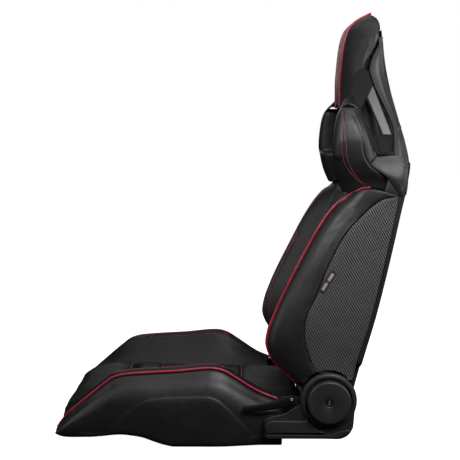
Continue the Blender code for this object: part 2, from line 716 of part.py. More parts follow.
def cover_ring(z):
    """A channel section of the upper rear cover, open towards the frame bay."""
    w = 0.2450 if z <= SHOULDER_TOP else 0.1225
    if z > 0.700:
        w = head_half(z) - 0.0005
    y = rear(z)
    leg = y - PAD_REAR + 0.0005 if z <= SHOULDER_TOP else y - 0.0405
    outer_half = [(w, leg), (w, y - 0.012), (w - 0.006, y - 0.003), (0.72 * w, y + 0.002), (0.36 * w, y + 0.005)]
    inner_half = [(0.36 * w, y - 0.007), (0.72 * w, y - 0.009), (w - 0.016, y - 0.013), (w - 0.012, y - 0.018),
                  (w - 0.010, leg)]
    ring = outer_half + [(0.0, y + 0.006)] + [(-a, b) for a, b in reversed(outer_half)]
    ring += [(-a, b) for a, b in reversed(inner_half)] + [(0.0, y - 0.006)] + inner_half
    return [(a, b, z) for a, b in ring]


rear_cover = loft("upper_rear_cover",
                  [cover_ring(z) for z in [*SHOULDER_Z, SHOULDER_TOP + 0.003, 0.630, 0.655, 0.680,
                                           0.705, 0.730, 0.760, 0.790, 0.820, 0.845, 0.8675]],
                  LEATHER, BACK)


def slot_lean(z):
    """How far the outer side of a harness slot leans out below its top."""
    return 0.4667 * (0.790 - z)


def shoulder_wall(name, s):
    """The leaning wall behind a harness slot's bezel, from the shoulder up to the headrest."""
    outline = [(0.3250, 0.5950), (0.3250, 0.6500), (0.2895, 0.7520), (0.2805, 0.7840)]
    outline += [(rear(z) - 0.0020, z) for z in (0.7840, 0.7300, 0.6720, 0.6280, 0.5950)]
    x = sorted((s * 0.1190, s * 0.1300))
    return slab(name, outline, x[0], x[1], LEATHER, BACK, lambda z: s * slot_lean(z))


for side_label, side_sign in (("L", 1.0), ("R", -1.0)):
    join(rear_cover, shoulder_wall("shoulder_wall_" + side_label, side_sign))


def head_corner(z):
    """A point just off the headrest's front edge, square to the surface there."""
    widen = (head_half(z + 0.002) - head_half(z - 0.002)) / 0.004
    recede = (head_front(z + 0.002) - head_front(z - 0.002)) / 0.004
    out = Vector((0.6, -1.0, recede - 0.6 * widen)).normalized() * 0.0053
    back = rear(z) - 0.0410 if z < 0.8690 else rear(z) + 0.001
    depth = back - head_front(z)
    return Vector((0.42 * head_half(z), head_front(z) + 0.08 * depth, z)) + out


trim = [head_corner(z) for z in [0.7065, 0.735, 0.765, 0.795, 0.820, 0.838, 0.852, 0.862, 0.872, 0.883, 0.893, 0.900]]
trim = trim + [Vector((0.0, 0.2960, 0.9125))] + [Vector((-p.x, p.y, p.z)) for p in reversed(trim)]
tube("headrest_piping", trim, PIPE_R, PIPING, BACK, sides=6)


# ---- harness slots: sloping bezels and cheek liners --------------------------------------
def harness_bezel(name, s):
    outline = [(0.2370, 0.7180), (0.2450, 0.7600), (0.2600, 0.7865), (0.2790, 0.7830), (0.2880, 0.7520),
               (0.3235, 0.6500), (0.3200, 0.6080), (0.2890, 0.6080), (0.2570, 0.6930), (0.2520, 0.7080)]
    window = [(0.2600, 0.7000), (0.2715, 0.7240), (0.3020, 0.6490), (0.2810, 0.6480)]
    x = sorted((s * 0.1270, s * 0.1310))
    piece = slab(name, outline, x[0], x[1], PLASTIC, BACK, lambda z: s * slot_lean(z))
    cutter = slab(name + "_window", window, x[0] - 0.004, x[1] + 0.004, PLASTIC, BACK, lambda z: s * slot_lean(z))
    return cut(piece, cutter)


def slot_liner(name, s):
    outline = [(0.2560, 0.6080), (0.2480, 0.7000), (0.2560, 0.7350), (0.2920, 0.7350), (0.3160, 0.6600),
               (0.3220, 0.6080)]
    x = sorted((s * (SLOT_IN_X - 0.0040), s * SLOT_IN_X))
    return slab(name, outline, x[0], x[1], PLASTIC, BACK)


both_sides(harness_bezel, "harness_bezel")
both_sides(slot_liner, "slot_liner")

# plain sewn tag beside the side seam
tag_mid = Vector((0.1890, 0.3510))
tag_along = Vector((0.033, 0.0515)).normalized()
tag_across = Vector((tag_along.y, -tag_along.x))
tag = [tag_mid + a * tag_along + b * tag_across for a, b in
       ((-0.026, -0.007), (0.026, -0.007), (0.026, 0.007), (-0.026, 0.007))]
slab("side_tag", [(p.x, p.y) for p in tag], 0.2500, 0.2512, TAG, BACK)
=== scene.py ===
"""Looks of the reclining racing seat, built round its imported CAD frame.

Row frame: +Z up, the seat faces -Y, +X is the occupant's left.  Metres.
The left pieces are modelled first and mirrored to the right.
"""

import json
import math

import bmesh
import bpy
import numpy as np
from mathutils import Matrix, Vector
from mathutils.bvhtree import BVHTree


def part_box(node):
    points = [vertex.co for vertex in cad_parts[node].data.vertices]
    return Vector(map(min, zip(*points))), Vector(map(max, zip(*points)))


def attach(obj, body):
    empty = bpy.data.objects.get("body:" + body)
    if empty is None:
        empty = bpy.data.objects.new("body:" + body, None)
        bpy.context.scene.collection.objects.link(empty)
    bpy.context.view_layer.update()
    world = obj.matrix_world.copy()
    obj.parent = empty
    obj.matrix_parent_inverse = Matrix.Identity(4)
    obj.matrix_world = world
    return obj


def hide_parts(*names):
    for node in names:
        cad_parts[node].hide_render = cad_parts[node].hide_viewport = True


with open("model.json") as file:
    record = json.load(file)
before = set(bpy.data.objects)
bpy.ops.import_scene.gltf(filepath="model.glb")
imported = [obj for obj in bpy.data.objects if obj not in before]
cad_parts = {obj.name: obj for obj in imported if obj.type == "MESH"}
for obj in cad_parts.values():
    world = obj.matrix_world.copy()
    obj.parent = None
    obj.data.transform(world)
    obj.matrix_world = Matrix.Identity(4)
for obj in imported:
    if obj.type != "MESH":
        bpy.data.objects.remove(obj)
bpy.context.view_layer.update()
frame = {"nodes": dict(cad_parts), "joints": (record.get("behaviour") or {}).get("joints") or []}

# ---- driving values, from the frame ----------------------------------------------------
AXIS = Vector(frame["joints"][0]["pos_m"])                  # recliner axis, along X
SPLIT_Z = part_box("rear_shell")[1].z                         # lower back ends, shoulders begin
SIDE_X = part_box("cushion_side_panel_L")[1].x                # outer face of the cushion's sides
FLOOR_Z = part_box("seat_centre")[0].z                        # underside of the cushion foam
CENTRE_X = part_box("seat_centre")[1].x                       # half width of the middle pads
NOSE_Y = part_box("cushion_side_panel_L")[0].y
PAD_NOSE_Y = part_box("thigh_roll")[0].y
CUSHION_END_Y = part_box("cushion_side_panel_L")[1].y
SEAT_JOIN_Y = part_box("thigh_roll")[1].y
SEAT_END_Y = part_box("seat_centre")[1].y
BACK_LOW_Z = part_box("back_bolster_L")[0].z
SLOT_FLOOR_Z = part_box("slot_liner_L")[0].z - 0.005
HEAD_LOW_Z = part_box("headrest_pad")[0].z
HEAD_TOP_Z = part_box("headrest_pad")[1].z
CAP_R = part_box("recliner_cap_L")[1].z - AXIS.z              # round cap over the recliner
PIPE_R = 0.0027                                             # piping radius
THREAD_R = 0.00055
SEAM_GAP = 0.0006                                           # between pieces that meet at a seam
CHANNEL_PITCH = 0.062                                       # sewn channels across the middle pads
ROW_SHIFT = 0.005                                          # rows of thread beside a bolster's seam
BACK_DEPTH = 0.046                                          # from the rear silhouette to the pads' rear
HEAD_DEPTH = 0.041                                         # the same for the headrest
SEAT_RAY_Z, BOLSTER_RAY_Z = 0.2, 0.3                        # cushion seams are dropped from here
PATH_STEP = 0.001                                           # spacing of points on seams
UP = Vector((0.0, 0.0, 1.0))
FORWARDS = Vector((0.0, -1.0, 0.0))
REARWARDS = Vector((0.0, 1.0, 0.0))


# ---- curves ----------------------------------------------------------------------------
def curve(points):
    """Smooth monotone interpolation through (position, value) points, for numbers or arrays."""
    xs, ys = np.array(points, float).T
    slope = np.diff(ys) / np.diff(xs)
    product = slope[:-1] * slope[1:]
    total = slope[:-1] + slope[1:]
    inner = np.where(product > 0.0, 2.0 * product / np.where(total == 0.0, 1.0, total), 0.0)
    tangent = np.concatenate([slope[:1], inner, slope[-1:]])

    def value(x):
        x = np.clip(x, xs[0], xs[-1])
        i = np.clip(np.searchsorted(xs, x, side="right") - 1, 0, len(xs) - 2)
        h = xs[i + 1] - xs[i]
        t = (x - xs[i]) / h
        from_left = (1.0 + 2.0 * t) * (1.0 - t) ** 2 * ys[i] + t * (1.0 - t) ** 2 * h * tangent[i]
        return (from_left + t * t * (3.0 - 2.0 * t) * ys[i + 1]
                + t * t * (t - 1.0) * h * tangent[i + 1])

    return value


def fade(x, start, end):
    """0 at start, 1 at end, smooth between."""
    t = np.clip((x - start) / (end - start), 0.0, 1.0)
    return t * t * (3.0 - 2.0 * t)


# lower back: front edge of the bolsters, middle, rear silhouette, side seam, outer face
bolster_front = curve([(0.117, 0.139), (0.136, 0.121), (0.167, 0.087), (0.194, 0.069), (0.215, 0.063),
                       (0.237, 0.066), (0.274, 0.078), (0.378, 0.127), (0.477, 0.182), (0.513, 0.213),
                       (0.53, 0.236)])
centre_front = curve([(0.132, 0.15), (0.2, 0.125), (0.26, 0.13), (0.35, 0.165), (0.45, 0.212),
                      (0.53, 0.243), (0.63, 0.254), (0.705, 0.248)])
rear = curve([(0.11, 0.248), (0.18, 0.266), (0.283, 0.295), (0.411, 0.3245), (0.513, 0.3455),
              (0.594, 0.361), (0.628, 0.3565), (0.672, 0.3465), (0.73, 0.333), (0.801, 0.3175),
              (0.836, 0.3135), (0.88, 0.311), (0.907, 0.303)])
side_seam = curve([(0.146, 0.175), (0.174, 0.16), (0.205, 0.149), (0.24, 0.143), (0.27, 0.145),
                   (0.324, 0.168), (0.384, 0.191), (0.46, 0.234), (0.507, 0.289), (0.53, 0.334)])
side_face = curve([(0.136, 0.2405), (0.18, 0.2425), (0.25, 0.2475), (0.33, 0.2495), (0.45, 0.2485),
                   (0.53, 0.246)])
# how far the seam on top of the lower back rises above its height at the front edge
seam_rise = curve([(0.23, 0.0), (0.272, 0.01), (0.3, 0.006), (0.331, -0.003), (0.36, -0.004)])
# shoulder wings: front edge, outer face, rear seam
wing_front = curve([(0.53, 0.223), (0.561, 0.21), (0.595, 0.202), (0.619, 0.1995), (0.65, 0.2015),
                    (0.68, 0.206), (0.695, 0.211), (0.704, 0.217)])
wing_face = curve([(0.53, 0.229), (0.55, 0.233), (0.575, 0.242), (0.6, 0.249), (0.63, 0.2505),
                   (0.67, 0.242), (0.704, 0.224)])
wing_seam = curve([(0.53, 0.33), (0.553, 0.313), (0.569, 0.297), (0.588, 0.272), (0.612, 0.26),
                   (0.651, 0.254), (0.69, 0.2395), (0.704, 0.236)])
# headrest: front and half width
head_front = curve([(0.705, 0.225), (0.75, 0.2245), (0.8, 0.2278), (0.84, 0.2325), (0.857, 0.2365),
                    (0.872, 0.2425), (0.885, 0.254), (0.897, 0.272), (0.907, 0.293)])
head_half = curve([(0.705, 0.116), (0.76, 0.12), (0.81, 0.124), (0.845, 0.121), (0.872, 0.108),
                   (0.891, 0.084), (0.902, 0.052), (0.907, 0.022)])
# seam between the headrest's side and the leather behind it
cover_seam = curve([(0.785, 0.281), (0.8, 0.2838), (0.815, 0.29), (0.837, 0.301), (0.852, 0.306),
                    (0.868, 0.3085)])
# cushion along y: top of the bolsters, middle, lower edge of the sides, half width, side seam
cushion_top = curve([(-0.378, 0.0285), (-0.364, 0.0485), (-0.351, 0.064), (-0.325, 0.0875), (-0.3, 0.109),
                     (-0.2745, 0.13), (-0.256, 0.1435), (-0.235, 0.15), (-0.198, 0.1535), (-0.123, 0.158),
                     (-0.05, 0.1642), (-0.038, 0.163), (-0.023, 0.1585), (0.002, 0.1435), (0.027, 0.1268),
                     (0.052, 0.112), (0.098, 0.094)])
cushion_mid = curve([(-0.378, 0.046), (-0.37, 0.062), (-0.354, 0.078), (-0.32, 0.092), (-0.275, 0.1),
                     (-0.2, 0.098), (-0.1, 0.094), (0.0, 0.092), (0.09, 0.09), (0.138, 0.085)])
skirt_low = curve([(-0.378, 0.0215), (-0.363, 0.0185), (-0.322, 0.021), (-0.28, 0.0255), (-0.238, 0.03),
                   (-0.197, 0.0255), (-0.166, 0.015), (-0.145, 0.0085), (-0.125, 0.005), (0.098, 0.005)])
cushion_half = curve([(-0.378, 0.215), (-0.345, 0.234), (-0.29, 0.2455), (-0.2, SIDE_X), (-0.06, SIDE_X),
                      (0.02, 0.244), (0.055, 0.239), (0.098, 0.2385)])
trapeze_seam = curve([(-0.262, 0.034), (-0.24, 0.06), (-0.2, 0.092), (-0.18, 0.101), (-0.14, 0.106),
                      (-0.06, 0.108), (-0.04, 0.103), (-0.02, 0.088), (0.02, 0.045), (0.034, 0.028)])


def steepness(y):
    """How much taller a section across y cuts the sloping top edge than a square one."""
    slope = (cushion_top(y + 0.002) - cushion_top(y - 0.002)) / 0.004
    return np.minimum(2.2, np.hypot(1.0, slope))


# ---- mesh building ---------------------------------------------------------------------
def stations(a, b, step, bend):
    """Positions from a to b about step apart, closer together over the bend at each end."""
    ease = bend * (1.0 - np.cos(np.linspace(0.0, math.pi / 2.0, 5)[:-1]))
    inner = np.linspace(a + bend, b - bend, max(2, round((b - a - 2.0 * bend) / step) + 1))
    return np.concatenate([a + ease, inner, (b - ease)[::-1]])


def across(z, *points):
    """Control rings at the heights z from (x, y) points that may vary with z."""
    return np.stack([np.stack(np.broadcast_arrays(x, y, z), axis=-1) for x, y in points], axis=1)


def along(y, *points):
    """Control rings at the depths y from (x, z) points that may vary with y."""
    return np.stack([np.stack(np.broadcast_arrays(x, y, z), axis=-1) for x, z in points], axis=1)


def spline(control, counts, closed=True):
    """Smooth rings or paths through control points (rings, points, 3); counts samples per span."""
    if isinstance(counts, int):
        counts = [counts] * (control.shape[1] - (0 if closed else 1))
    if closed:
        before, after = np.roll(control, 1, axis=1), np.roll(control, -1, axis=1)
    else:
        before = np.concatenate([2.0 * control[:, :1] - control[:, 1:2], control[:, :-1]], axis=1)
        after = np.concatenate([control[:, 1:], 2.0 * control[:, -1:] - control[:, -2:-1]], axis=1)
    knot_in = np.sqrt(np.linalg.norm(control - before, axis=2, keepdims=True)) + 1e-9
    knot_out = np.sqrt(np.linalg.norm(after - control, axis=2, keepdims=True)) + 1e-9
    slope = ((control - before) / knot_in - (after - before) / (knot_in + knot_out)
             + (after - control) / knot_out)
    spans = []
    for i, count in enumerate(counts):
        j = (i + 1) % control.shape[1]
        t = (np.arange(count) / count)[None, :, None]
        h = knot_out[:, i:i + 1]
        p, q = control[:, i:i + 1], control[:, j:j + 1]
        m, n = slope[:, i:i + 1] * h, slope[:, j:j + 1] * h
        spans.append((1.0 + 2.0 * t) * (1.0 - t) ** 2 * p + t * (1.0 - t) ** 2 * m
                     + t * t * (3.0 - 2.0 * t) * q + t * t * (t - 1.0) * n)
    if not closed:
        spans.append(control[:, -1:])
    return np.concatenate(spans, axis=1)


def inset(rings, amount):
    """Rings pulled inwards, in their own plane, by an amount for each ring."""
    flat = 2 if np.ptp(rings[0][:, 2]) < 1e-9 else 1
    a, b = [k for k in (0, 1, 2) if k != flat]
    tangent = np.roll(rings, -1, axis=1) - np.roll(rings, 1, axis=1)
    normal = np.zeros_like(rings)
    normal[..., a], normal[..., b] = tangent[..., b], -tangent[..., a]
    normal /= np.linalg.norm(normal, axis=2, keepdims=True) + 1e-12
    nxt = np.roll(rings, -1, axis=1)
    area = np.sum(rings[..., a] * nxt[..., b] - nxt[..., a] * rings[..., b], axis=1)
    return rings - normal * (np.sign(area) * amount)[:, None, None]


def round_ends(rings, radius, low=True):
    """Rings whose last ones, and with low the first ones too, draw in over a quarter circle."""
    place = rings.mean(axis=1)
    flat = 2 if np.ptp(rings[0][:, 2]) < 1e-9 else 1
    from_low = place[:, flat] - place[0, flat] if low else radius + 0.0 * place[:, flat]
    from_high = place[-1, flat] - place[:, flat]
    depth = np.clip(np.minimum(from_low, from_high), 0.0, radius)
    return inset(rings, radius - np.sqrt(np.maximum(2.0 * radius * depth - depth * depth, 0.0)))


def linked(name, data):
    """A new object in the scene."""
    obj = bpy.data.objects.new(name, data)
    bpy.context.collection.objects.link(obj)
    return obj


def clean(mesh):
    """Merge points that coincide and turn every face outwards."""
    bm = bmesh.new()
    bm.from_mesh(mesh)
    bmesh.ops.remove_doubles(bm, verts=bm.verts, dist=1e-6)
    bmesh.ops.recalc_face_normals(bm, faces=bm.faces)
    bm.to_mesh(mesh)
    bm.free()


def evaluated(obj):
    """A mesh of the object as its modifiers or its bevel make it."""
    bpy.context.view_layer.update()
    return bpy.data.meshes.new_from_object(obj.evaluated_get(bpy.context.evaluated_depsgraph_get()))


def new_object(name, verts, faces, mat):
    mesh = bpy.data.meshes.new(name)
    mesh.from_pydata(np.asarray(verts).tolist(), [], faces)
    clean(mesh)
    mesh.materials.append(mat)
    mesh.shade_smooth()
    return linked(name, mesh)


def skin(name, rings, mat):
    """A closed skin over rings of equal point counts, each end closed by a fan to its middle."""
    m, n = rings.shape[:2]
    verts = np.concatenate([rings.reshape(-1, 3), rings[:1].mean(axis=1), rings[-1:].mean(axis=1)])
    faces = []
    for r in range(m - 1):
        for i in range(n):
            j = (i + 1) % n
            faces.append((r * n + i, r * n + j, (r + 1) * n + j, (r + 1) * n + i))
    for i in range(n):
        faces.append((m * n, (i + 1) % n, i))
        faces.append((m * n + 1, (m - 1) * n + i, (m - 1) * n + (i + 1) % n))
    return new_object(name, verts, faces, mat)


def coordinates(obj, kind="co"):
    values = np.zeros(len(obj.data.vertices) * 3)
    obj.data.vertices.foreach_get(kind, values)
    return values.reshape(-1, 3)


def set_coordinates(obj, co):
    obj.data.vertices.foreach_set("co", co.ravel())
    obj.data.update()


def normals(obj):
    return coordinates(obj, "normal")


def path_of(points, step=PATH_STEP):
    """A smooth path through the points, resampled at even steps along its length."""
    fine = spline(np.array(points, float)[None], 24, closed=False)[0]
    length = np.concatenate([[0.0], np.cumsum(np.linalg.norm(np.diff(fine, axis=0), axis=1))])
    even = np.linspace(0.0, length[-1], max(3, round(length[-1] / step) + 1))
    return np.stack([np.interp(even, length, fine[:, k]) for k in range(3)], axis=1)


TUBE_SIDES = 14


def tube(name, path, radius, mat):
    """A round cord along a path, with domed ends, its frame carried along without twist."""
    tangent = np.gradient(path, axis=0)
    tangent /= np.linalg.norm(tangent, axis=1, keepdims=True)
    side = np.array(Vector(tangent[0]).orthogonal().normalized())
    angles = 2.0 * math.pi * np.arange(TUBE_SIDES) / TUBE_SIDES
    domes = np.cos(np.linspace(0.0, math.pi / 2.0, 4)[1:]) + 0.02
    rings = []
    for k, (p, t) in enumerate(zip(path, tangent)):
        side = side - t * np.dot(side, t)
        side /= np.linalg.norm(side)
        up = np.cross(t, side)
        rings.append(p + radius * (np.cos(angles)[:, None] * side + np.sin(angles)[:, None] * up))
        if k in (0, len(path) - 1):
            sign = -1.0 if k == 0 else 1.0
            dome = [p + s * (rings[-1] - p) + sign * t * radius * math.sqrt(max(0.0, 1.0 - s * s))
                    for s in domes]
            rings = dome[::-1] + rings if k == 0 else rings + dome
    return skin(name, np.array(rings), mat)


def mirrored(obj, name):
    """The right-hand twin of a left piece."""
    twin = obj.copy()
    twin.data = obj.data.copy()
    twin.name = name
    twin.data.name = name
    bpy.context.collection.objects.link(twin)
    co = coordinates(twin)
    co[:, 0] *= -1.0
    set_coordinates(twin, co)
    twin.data.flip_normals()
    return twin


def distance_to(co, path):
    """Distance of each point to the nearest point of a path."""
    best = np.full(len(co), np.inf)
    for start in range(0, len(path), 64):
        gap = np.linalg.norm(co[:, None, :] - path[None, start:start + 64, :], axis=2).min(axis=1)
        best = np.minimum(best, gap)
    return best


def sink(obj, path, depth, width):
    """A sewn seam or channel: the skin drops along the path."""
    co = coordinates(obj)
    low, high = path.min(axis=0) - 4.0 * width, path.max(axis=0) + 4.0 * width
    near = np.flatnonzero(np.all((co > low) & (co < high), axis=1))
    gap = distance_to(co[near], path)
    co[near] -= normals(obj)[near] * (depth * np.exp(-(gap / width) ** 2))[:, None]
    set_coordinates(obj, co)


def push(obj, amount):
    """Move every point along its normal by the amount that a rule gives for (x, y, z)."""
    co = coordinates(obj)
    co += normals(obj) * amount(co[:, 0], co[:, 1], co[:, 2])[:, None]
    set_coordinates(obj, co)


def tree_of(obj):
    return BVHTree.FromPolygons([v.co for v in obj.data.vertices],
                                [p.vertices for p in obj.data.polygons])


def surface_path(obj, points, side=Vector((1.0, 0.0, 0.0))):
    """A path through the points, dropped onto the object's surface from that side."""
    tree = tree_of(obj)
    laid = []
    for p in path_of(points):
        hit = tree.ray_cast(Vector(p) + 0.15 * side, -side, 0.3)[0]
        laid.append(hit if hit is not None else tree.find_nearest(Vector(p))[0])
    return np.array(laid)


def sew(name, obj, path, pitch, length):
    """A row of thread stitches lying on the object's surface along the path."""
    tree = tree_of(obj)
    gaps = np.linalg.norm(np.diff(path, axis=0), axis=1)
    run = np.concatenate([[0.0], np.cumsum(gaps)])
    verts, faces = [], []
    profile = [(-0.5, -1.0, 0.45), (-0.36, 0.25, 0.9), (0.0, 0.6, 1.0), (0.36, 0.25, 0.9),
               (0.5, -1.0, 0.45)]
    for start in np.arange(pitch, run[-1] - pitch, pitch):
        middle = Vector([np.interp(start, run, path[:, k]) for k in range(3)])
        ahead = Vector([np.interp(start + 0.001, run, path[:, k]) for k in range(3)])
        place, normal = tree.find_nearest(middle)[:2]
        along_path = (ahead - middle).normalized()
        along_path = (along_path - normal * along_path.dot(normal)).normalized()
        sideways = normal.cross(along_path)
        base = len(verts)
        for t, rise, fat in profile:
            centre = place + along_path * (t * length) + normal * (rise * THREAD_R)
            for k in range(6):
                a = math.pi * k / 3.0
                verts.append(centre + fat * THREAD_R * (math.cos(a) * sideways + math.sin(a) * normal))
        for r in range(4):
            for k in range(6):
                j = (k + 1) % 6
                faces.append((base + 6 * r + k, base + 6 * r + j,
                              base + 6 * r + 6 + j, base + 6 * r + 6 + k))
        faces.append(tuple(base + k for k in range(5, -1, -1)))
        faces.append(tuple(base + 24 + k for k in range(6)))
    mesh = bpy.data.meshes.new(name)
    mesh.from_pydata(verts, [], faces)
    mesh.materials.append(THREAD)
    mesh.shade_smooth()
    return linked(name, mesh)


def settle(obj, modifier):
    """Apply a modifier to the object's mesh."""
    made = evaluated(obj)
    obj.modifiers.remove(modifier)
    obj.data = made
    obj.data.shade_smooth()


PAD_PRESSURE = 4.0
CLOTH_FRAMES = 20


def inflate(obj, reach, voxel=0.005):
    """Fill the pad by cloth simulation; no point moves further than reach (x, y, z)."""
    remesh = obj.modifiers.new("remesh", "REMESH")
    remesh.mode = "VOXEL"
    remesh.voxel_size = voxel
    settle(obj, remesh)
    start = coordinates(obj)
    cloth = obj.modifiers.new("cloth", "CLOTH")
    cloth.settings.use_pressure = True
    cloth.settings.uniform_pressure_force = PAD_PRESSURE
    cloth.settings.effector_weights.gravity = 0.0
    for step in range(1, CLOTH_FRAMES + 1):
        bpy.context.scene.frame_set(step)
    settle(obj, cloth)
    bpy.context.scene.frame_set(1)
    limit = np.array(reach)
    set_coordinates(obj, start + np.clip(coordinates(obj) - start, -limit, limit))
    finer = obj.modifiers.new("finer", "SUBSURF")
    finer.levels = 1
    settle(obj, finer)


PLASTIC_SHARP = math.radians(40.0)


def bevelled(name, outline, x0, x1, mat, bevel, lean=None, holes=()):
    """A plate with a (y, z) outline between two x planes, edges rounded; lean(z) moves it in x."""
    curve_data = bpy.data.curves.new(name, "CURVE")
    curve_data.dimensions = "2D"
    curve_data.fill_mode = "BOTH"
    curve_data.extrude = 0.5 * abs(x1 - x0) - bevel
    curve_data.bevel_depth = bevel
    curve_data.bevel_resolution = 3
    curve_data.offset = -bevel
    for points in (outline, *holes):
        strip = curve_data.splines.new("POLY")
        strip.points.add(len(points) - 1)
        for point, (y, z) in zip(strip.points, points):
            point.co = (y, z, 0.0, 1.0)
        strip.use_cyclic_u = True
    guide = linked(name, curve_data)
    mesh = evaluated(guide)
    bpy.data.objects.remove(guide)
    obj = linked(name, mesh)
    co = coordinates(obj)
    co = np.stack([0.5 * (x0 + x1) + co[:, 2], co[:, 0], co[:, 1]], axis=1)
    if lean is not None:
        co[:, 0] += lean(co[:, 2])
    set_coordinates(obj, co)
    clean(mesh)
    mesh.materials.clear()
    mesh.materials.append(mat)
    mesh.shade_smooth()
    mesh.set_sharp_from_angle(angle=PLASTIC_SHARP)
    return obj


def arc(radius, start, end, n, centre=(AXIS.y, AXIS.z)):
    """Points (y, z) on an arc, angles in degrees from +Y towards +Z."""
    cy, cz = centre
    angles = np.radians(np.linspace(start, end, n))
    return [(cy + radius * math.cos(a), cz + radius * math.sin(a)) for a in angles]


FILLET_POINTS = 5


def filleted(points, radius):
    """A closed (y, z) outline with each corner rounded; a radius per corner, or one for all."""
    radii = radius if isinstance(radius, (list, tuple)) else [radius] * len(points)
    out = []
    for i, r in enumerate(radii):
        p = np.array(points[i])
        a = np.array(points[i - 1]) - p
        b = np.array(points[(i + 1) % len(points)]) - p
        cut = min(r, 0.48 * np.linalg.norm(a), 0.48 * np.linalg.norm(b))
        start = p + a / np.linalg.norm(a) * cut
        end = p + b / np.linalg.norm(b) * cut
        for t in np.linspace(0.0, 1.0, FILLET_POINTS):
            out.append(tuple((1 - t) ** 2 * start + 2 * t * (1 - t) * p + t * t * end))
    return out


def turned(name, profile, mat, sides=72, y=AXIS.y, z=AXIS.z):
    """A piece turned about an axis along X, the recliner's or another, from (x, radius) points."""
    angles = 2.0 * math.pi * np.arange(sides) / sides
    rings = [np.stack([np.full(sides, x), y + r * np.cos(angles), z + r * np.sin(angles)], axis=1)
             for x, r in profile]
    return skin(name, np.array(rings), mat)


def hub(name, profile, mat, sides=72):
    """A turned piece of the recliner, with crisp corners."""
    obj = turned(name, profile, mat, sides)
    obj.data.set_sharp_from_angle(angle=math.radians(50.0))
    return obj


def united(name, pieces):
    """Several meshes as one piece."""
    bm = bmesh.new()
    for piece in pieces:
        bm.from_mesh(piece.data)
    mesh = bpy.data.meshes.new(name)
    bm.to_mesh(mesh)
    bm.free()
    mesh.materials.append(pieces[0].data.materials[0])
    for piece in pieces:
        bpy.data.objects.remove(piece)
    return linked(name, mesh)


# ---- materials -------------------------------------------------------------------------
def blank(name):
    mat = bpy.data.materials.new(name)
    mat.use_nodes = True
    return mat, mat.node_tree, mat.node_tree.nodes["Principled BSDF"]


def add(tree, kind, values=None, **settings):
    """A shader node; its inputs take numbers, colours or other nodes' outputs."""
    made = tree.nodes.new(kind)
    for key, value in settings.items():
        setattr(made, key, value)
    for key, value in (values or {}).items():
        if isinstance(value, bpy.types.NodeSocket):
            tree.links.new(value, made.inputs[key])
        else:
            made.inputs[key].default_value = value
    return made


def maths(tree, operation, *values):
    return add(tree, "ShaderNodeMath", dict(enumerate(values)), operation=operation).outputs[0]


def dot(tree, place, direction):
    values = {0: place, 1: list(direction)}
    return add(tree, "ShaderNodeVectorMath", values, operation="DOT_PRODUCT").outputs["Value"]


def times(factor, tone):
    return [factor * c for c in tone]


def place_in_row(tree):
    """Positions in metres, in the row frame at rest, whatever the piece rides on."""
    return add(tree, "ShaderNodeTexCoord").outputs["Object"]


def noise(tree, place, scale, detail=3.0, roughness=0.5):
    values = {"Vector": place, "Scale": scale, "Detail": detail, "Roughness": roughness}
    return add(tree, "ShaderNodeTexNoise", values).outputs["Fac"]


def span(tree, value, low, high, start=0.3, end=0.7):
    values = {"Value": value, "From Min": start, "From Max": end, "To Min": low, "To Max": high}
    return add(tree, "ShaderNodeMapRange", values).outputs["Result"]


def shade(tree, value, dark, light, start=0.3, end=0.7):
    ramp = add(tree, "ShaderNodeValToRGB", {"Fac": value})
    ramp.color_ramp.elements[0].position = start
    ramp.color_ramp.elements[0].color = (*dark, 1.0)
    ramp.color_ramp.elements[1].position = end
    ramp.color_ramp.elements[1].color = (*light, 1.0)
    return ramp.outputs["Color"]


def relief(tree, height, distance, strength, below=None):
    values = {"Height": height, "Distance": distance, "Strength": strength}
    if below is not None:
        values["Normal"] = below
    return add(tree, "ShaderNodeBump", values).outputs["Normal"]


def connect(tree, shader, **sockets):
    names = {"colour": "Base Color", "roughness": "Roughness", "normal": "Normal", "metallic": "Metallic"}
    for key, output in sockets.items():
        tree.links.new(output, shader.inputs[names[key]])


def leather(name, tone, roughness, grain=0.35, shine=0.5):
    """Coated leatherette: fine cell grain, a slight unevenness of the foam below, uneven gloss."""
    mat, tree, shader = blank(name)
    shader.inputs["Specular IOR Level"].default_value = shine
    place = place_in_row(tree)
    patches = noise(tree, place, 14.0, 5.0, 0.6)
    colour = shade(tree, patches, times(0.8, tone), times(1.25, tone))
    gloss = span(tree, noise(tree, place, 60.0, 4.0), roughness - 0.05, roughness + 0.06)
    cells = add(tree, "ShaderNodeTexVoronoi", {"Vector": place, "Scale": 640.0, "Randomness": 0.9})
    pores = relief(tree, cells.outputs["Distance"], 0.00022, grain)
    swell = relief(tree, noise(tree, place, 38.0, 2.0), 0.0022, 0.22, pores)
    connect(tree, shader, colour=colour, roughness=gloss, normal=swell)
    return mat


def ribbed_vinyl(name):
    """Embossed vinyl: slanting ribs crossed by a fine twill."""
    mat, tree, shader = blank(name)
    place = place_in_row(tree)

    def wave(direction, pitch):
        return maths(tree, "SINE", dot(tree, place, times(2.0 * math.pi / pitch, direction)))

    ribs = wave(RIB_NORMAL, RIB_PITCH)
    threads = wave(RIB_ALONG, 0.5 * RIB_PITCH)
    height = maths(tree, "MULTIPLY_ADD", threads, 0.22, ribs)
    # colour: painted shade in the rib valleys and painted highlight on the crests, mixed with random
    # mottle from the noise
    painted_rib_shade_and_mottle = maths(tree, "MULTIPLY_ADD", noise(tree, place, 25.0, 4.0), 0.5, height)
    colour = shade(tree, span(tree, painted_rib_shade_and_mottle, 0.0, 1.0, -1.1, 1.4),
                   (0.006, 0.006, 0.0065), (0.115, 0.115, 0.118))
    gloss = span(tree, height, 0.58, 0.4, -1.0, 1.0)
    connect(tree, shader, colour=colour, roughness=gloss, normal=relief(tree, height, 0.0007, 0.55))
    return mat


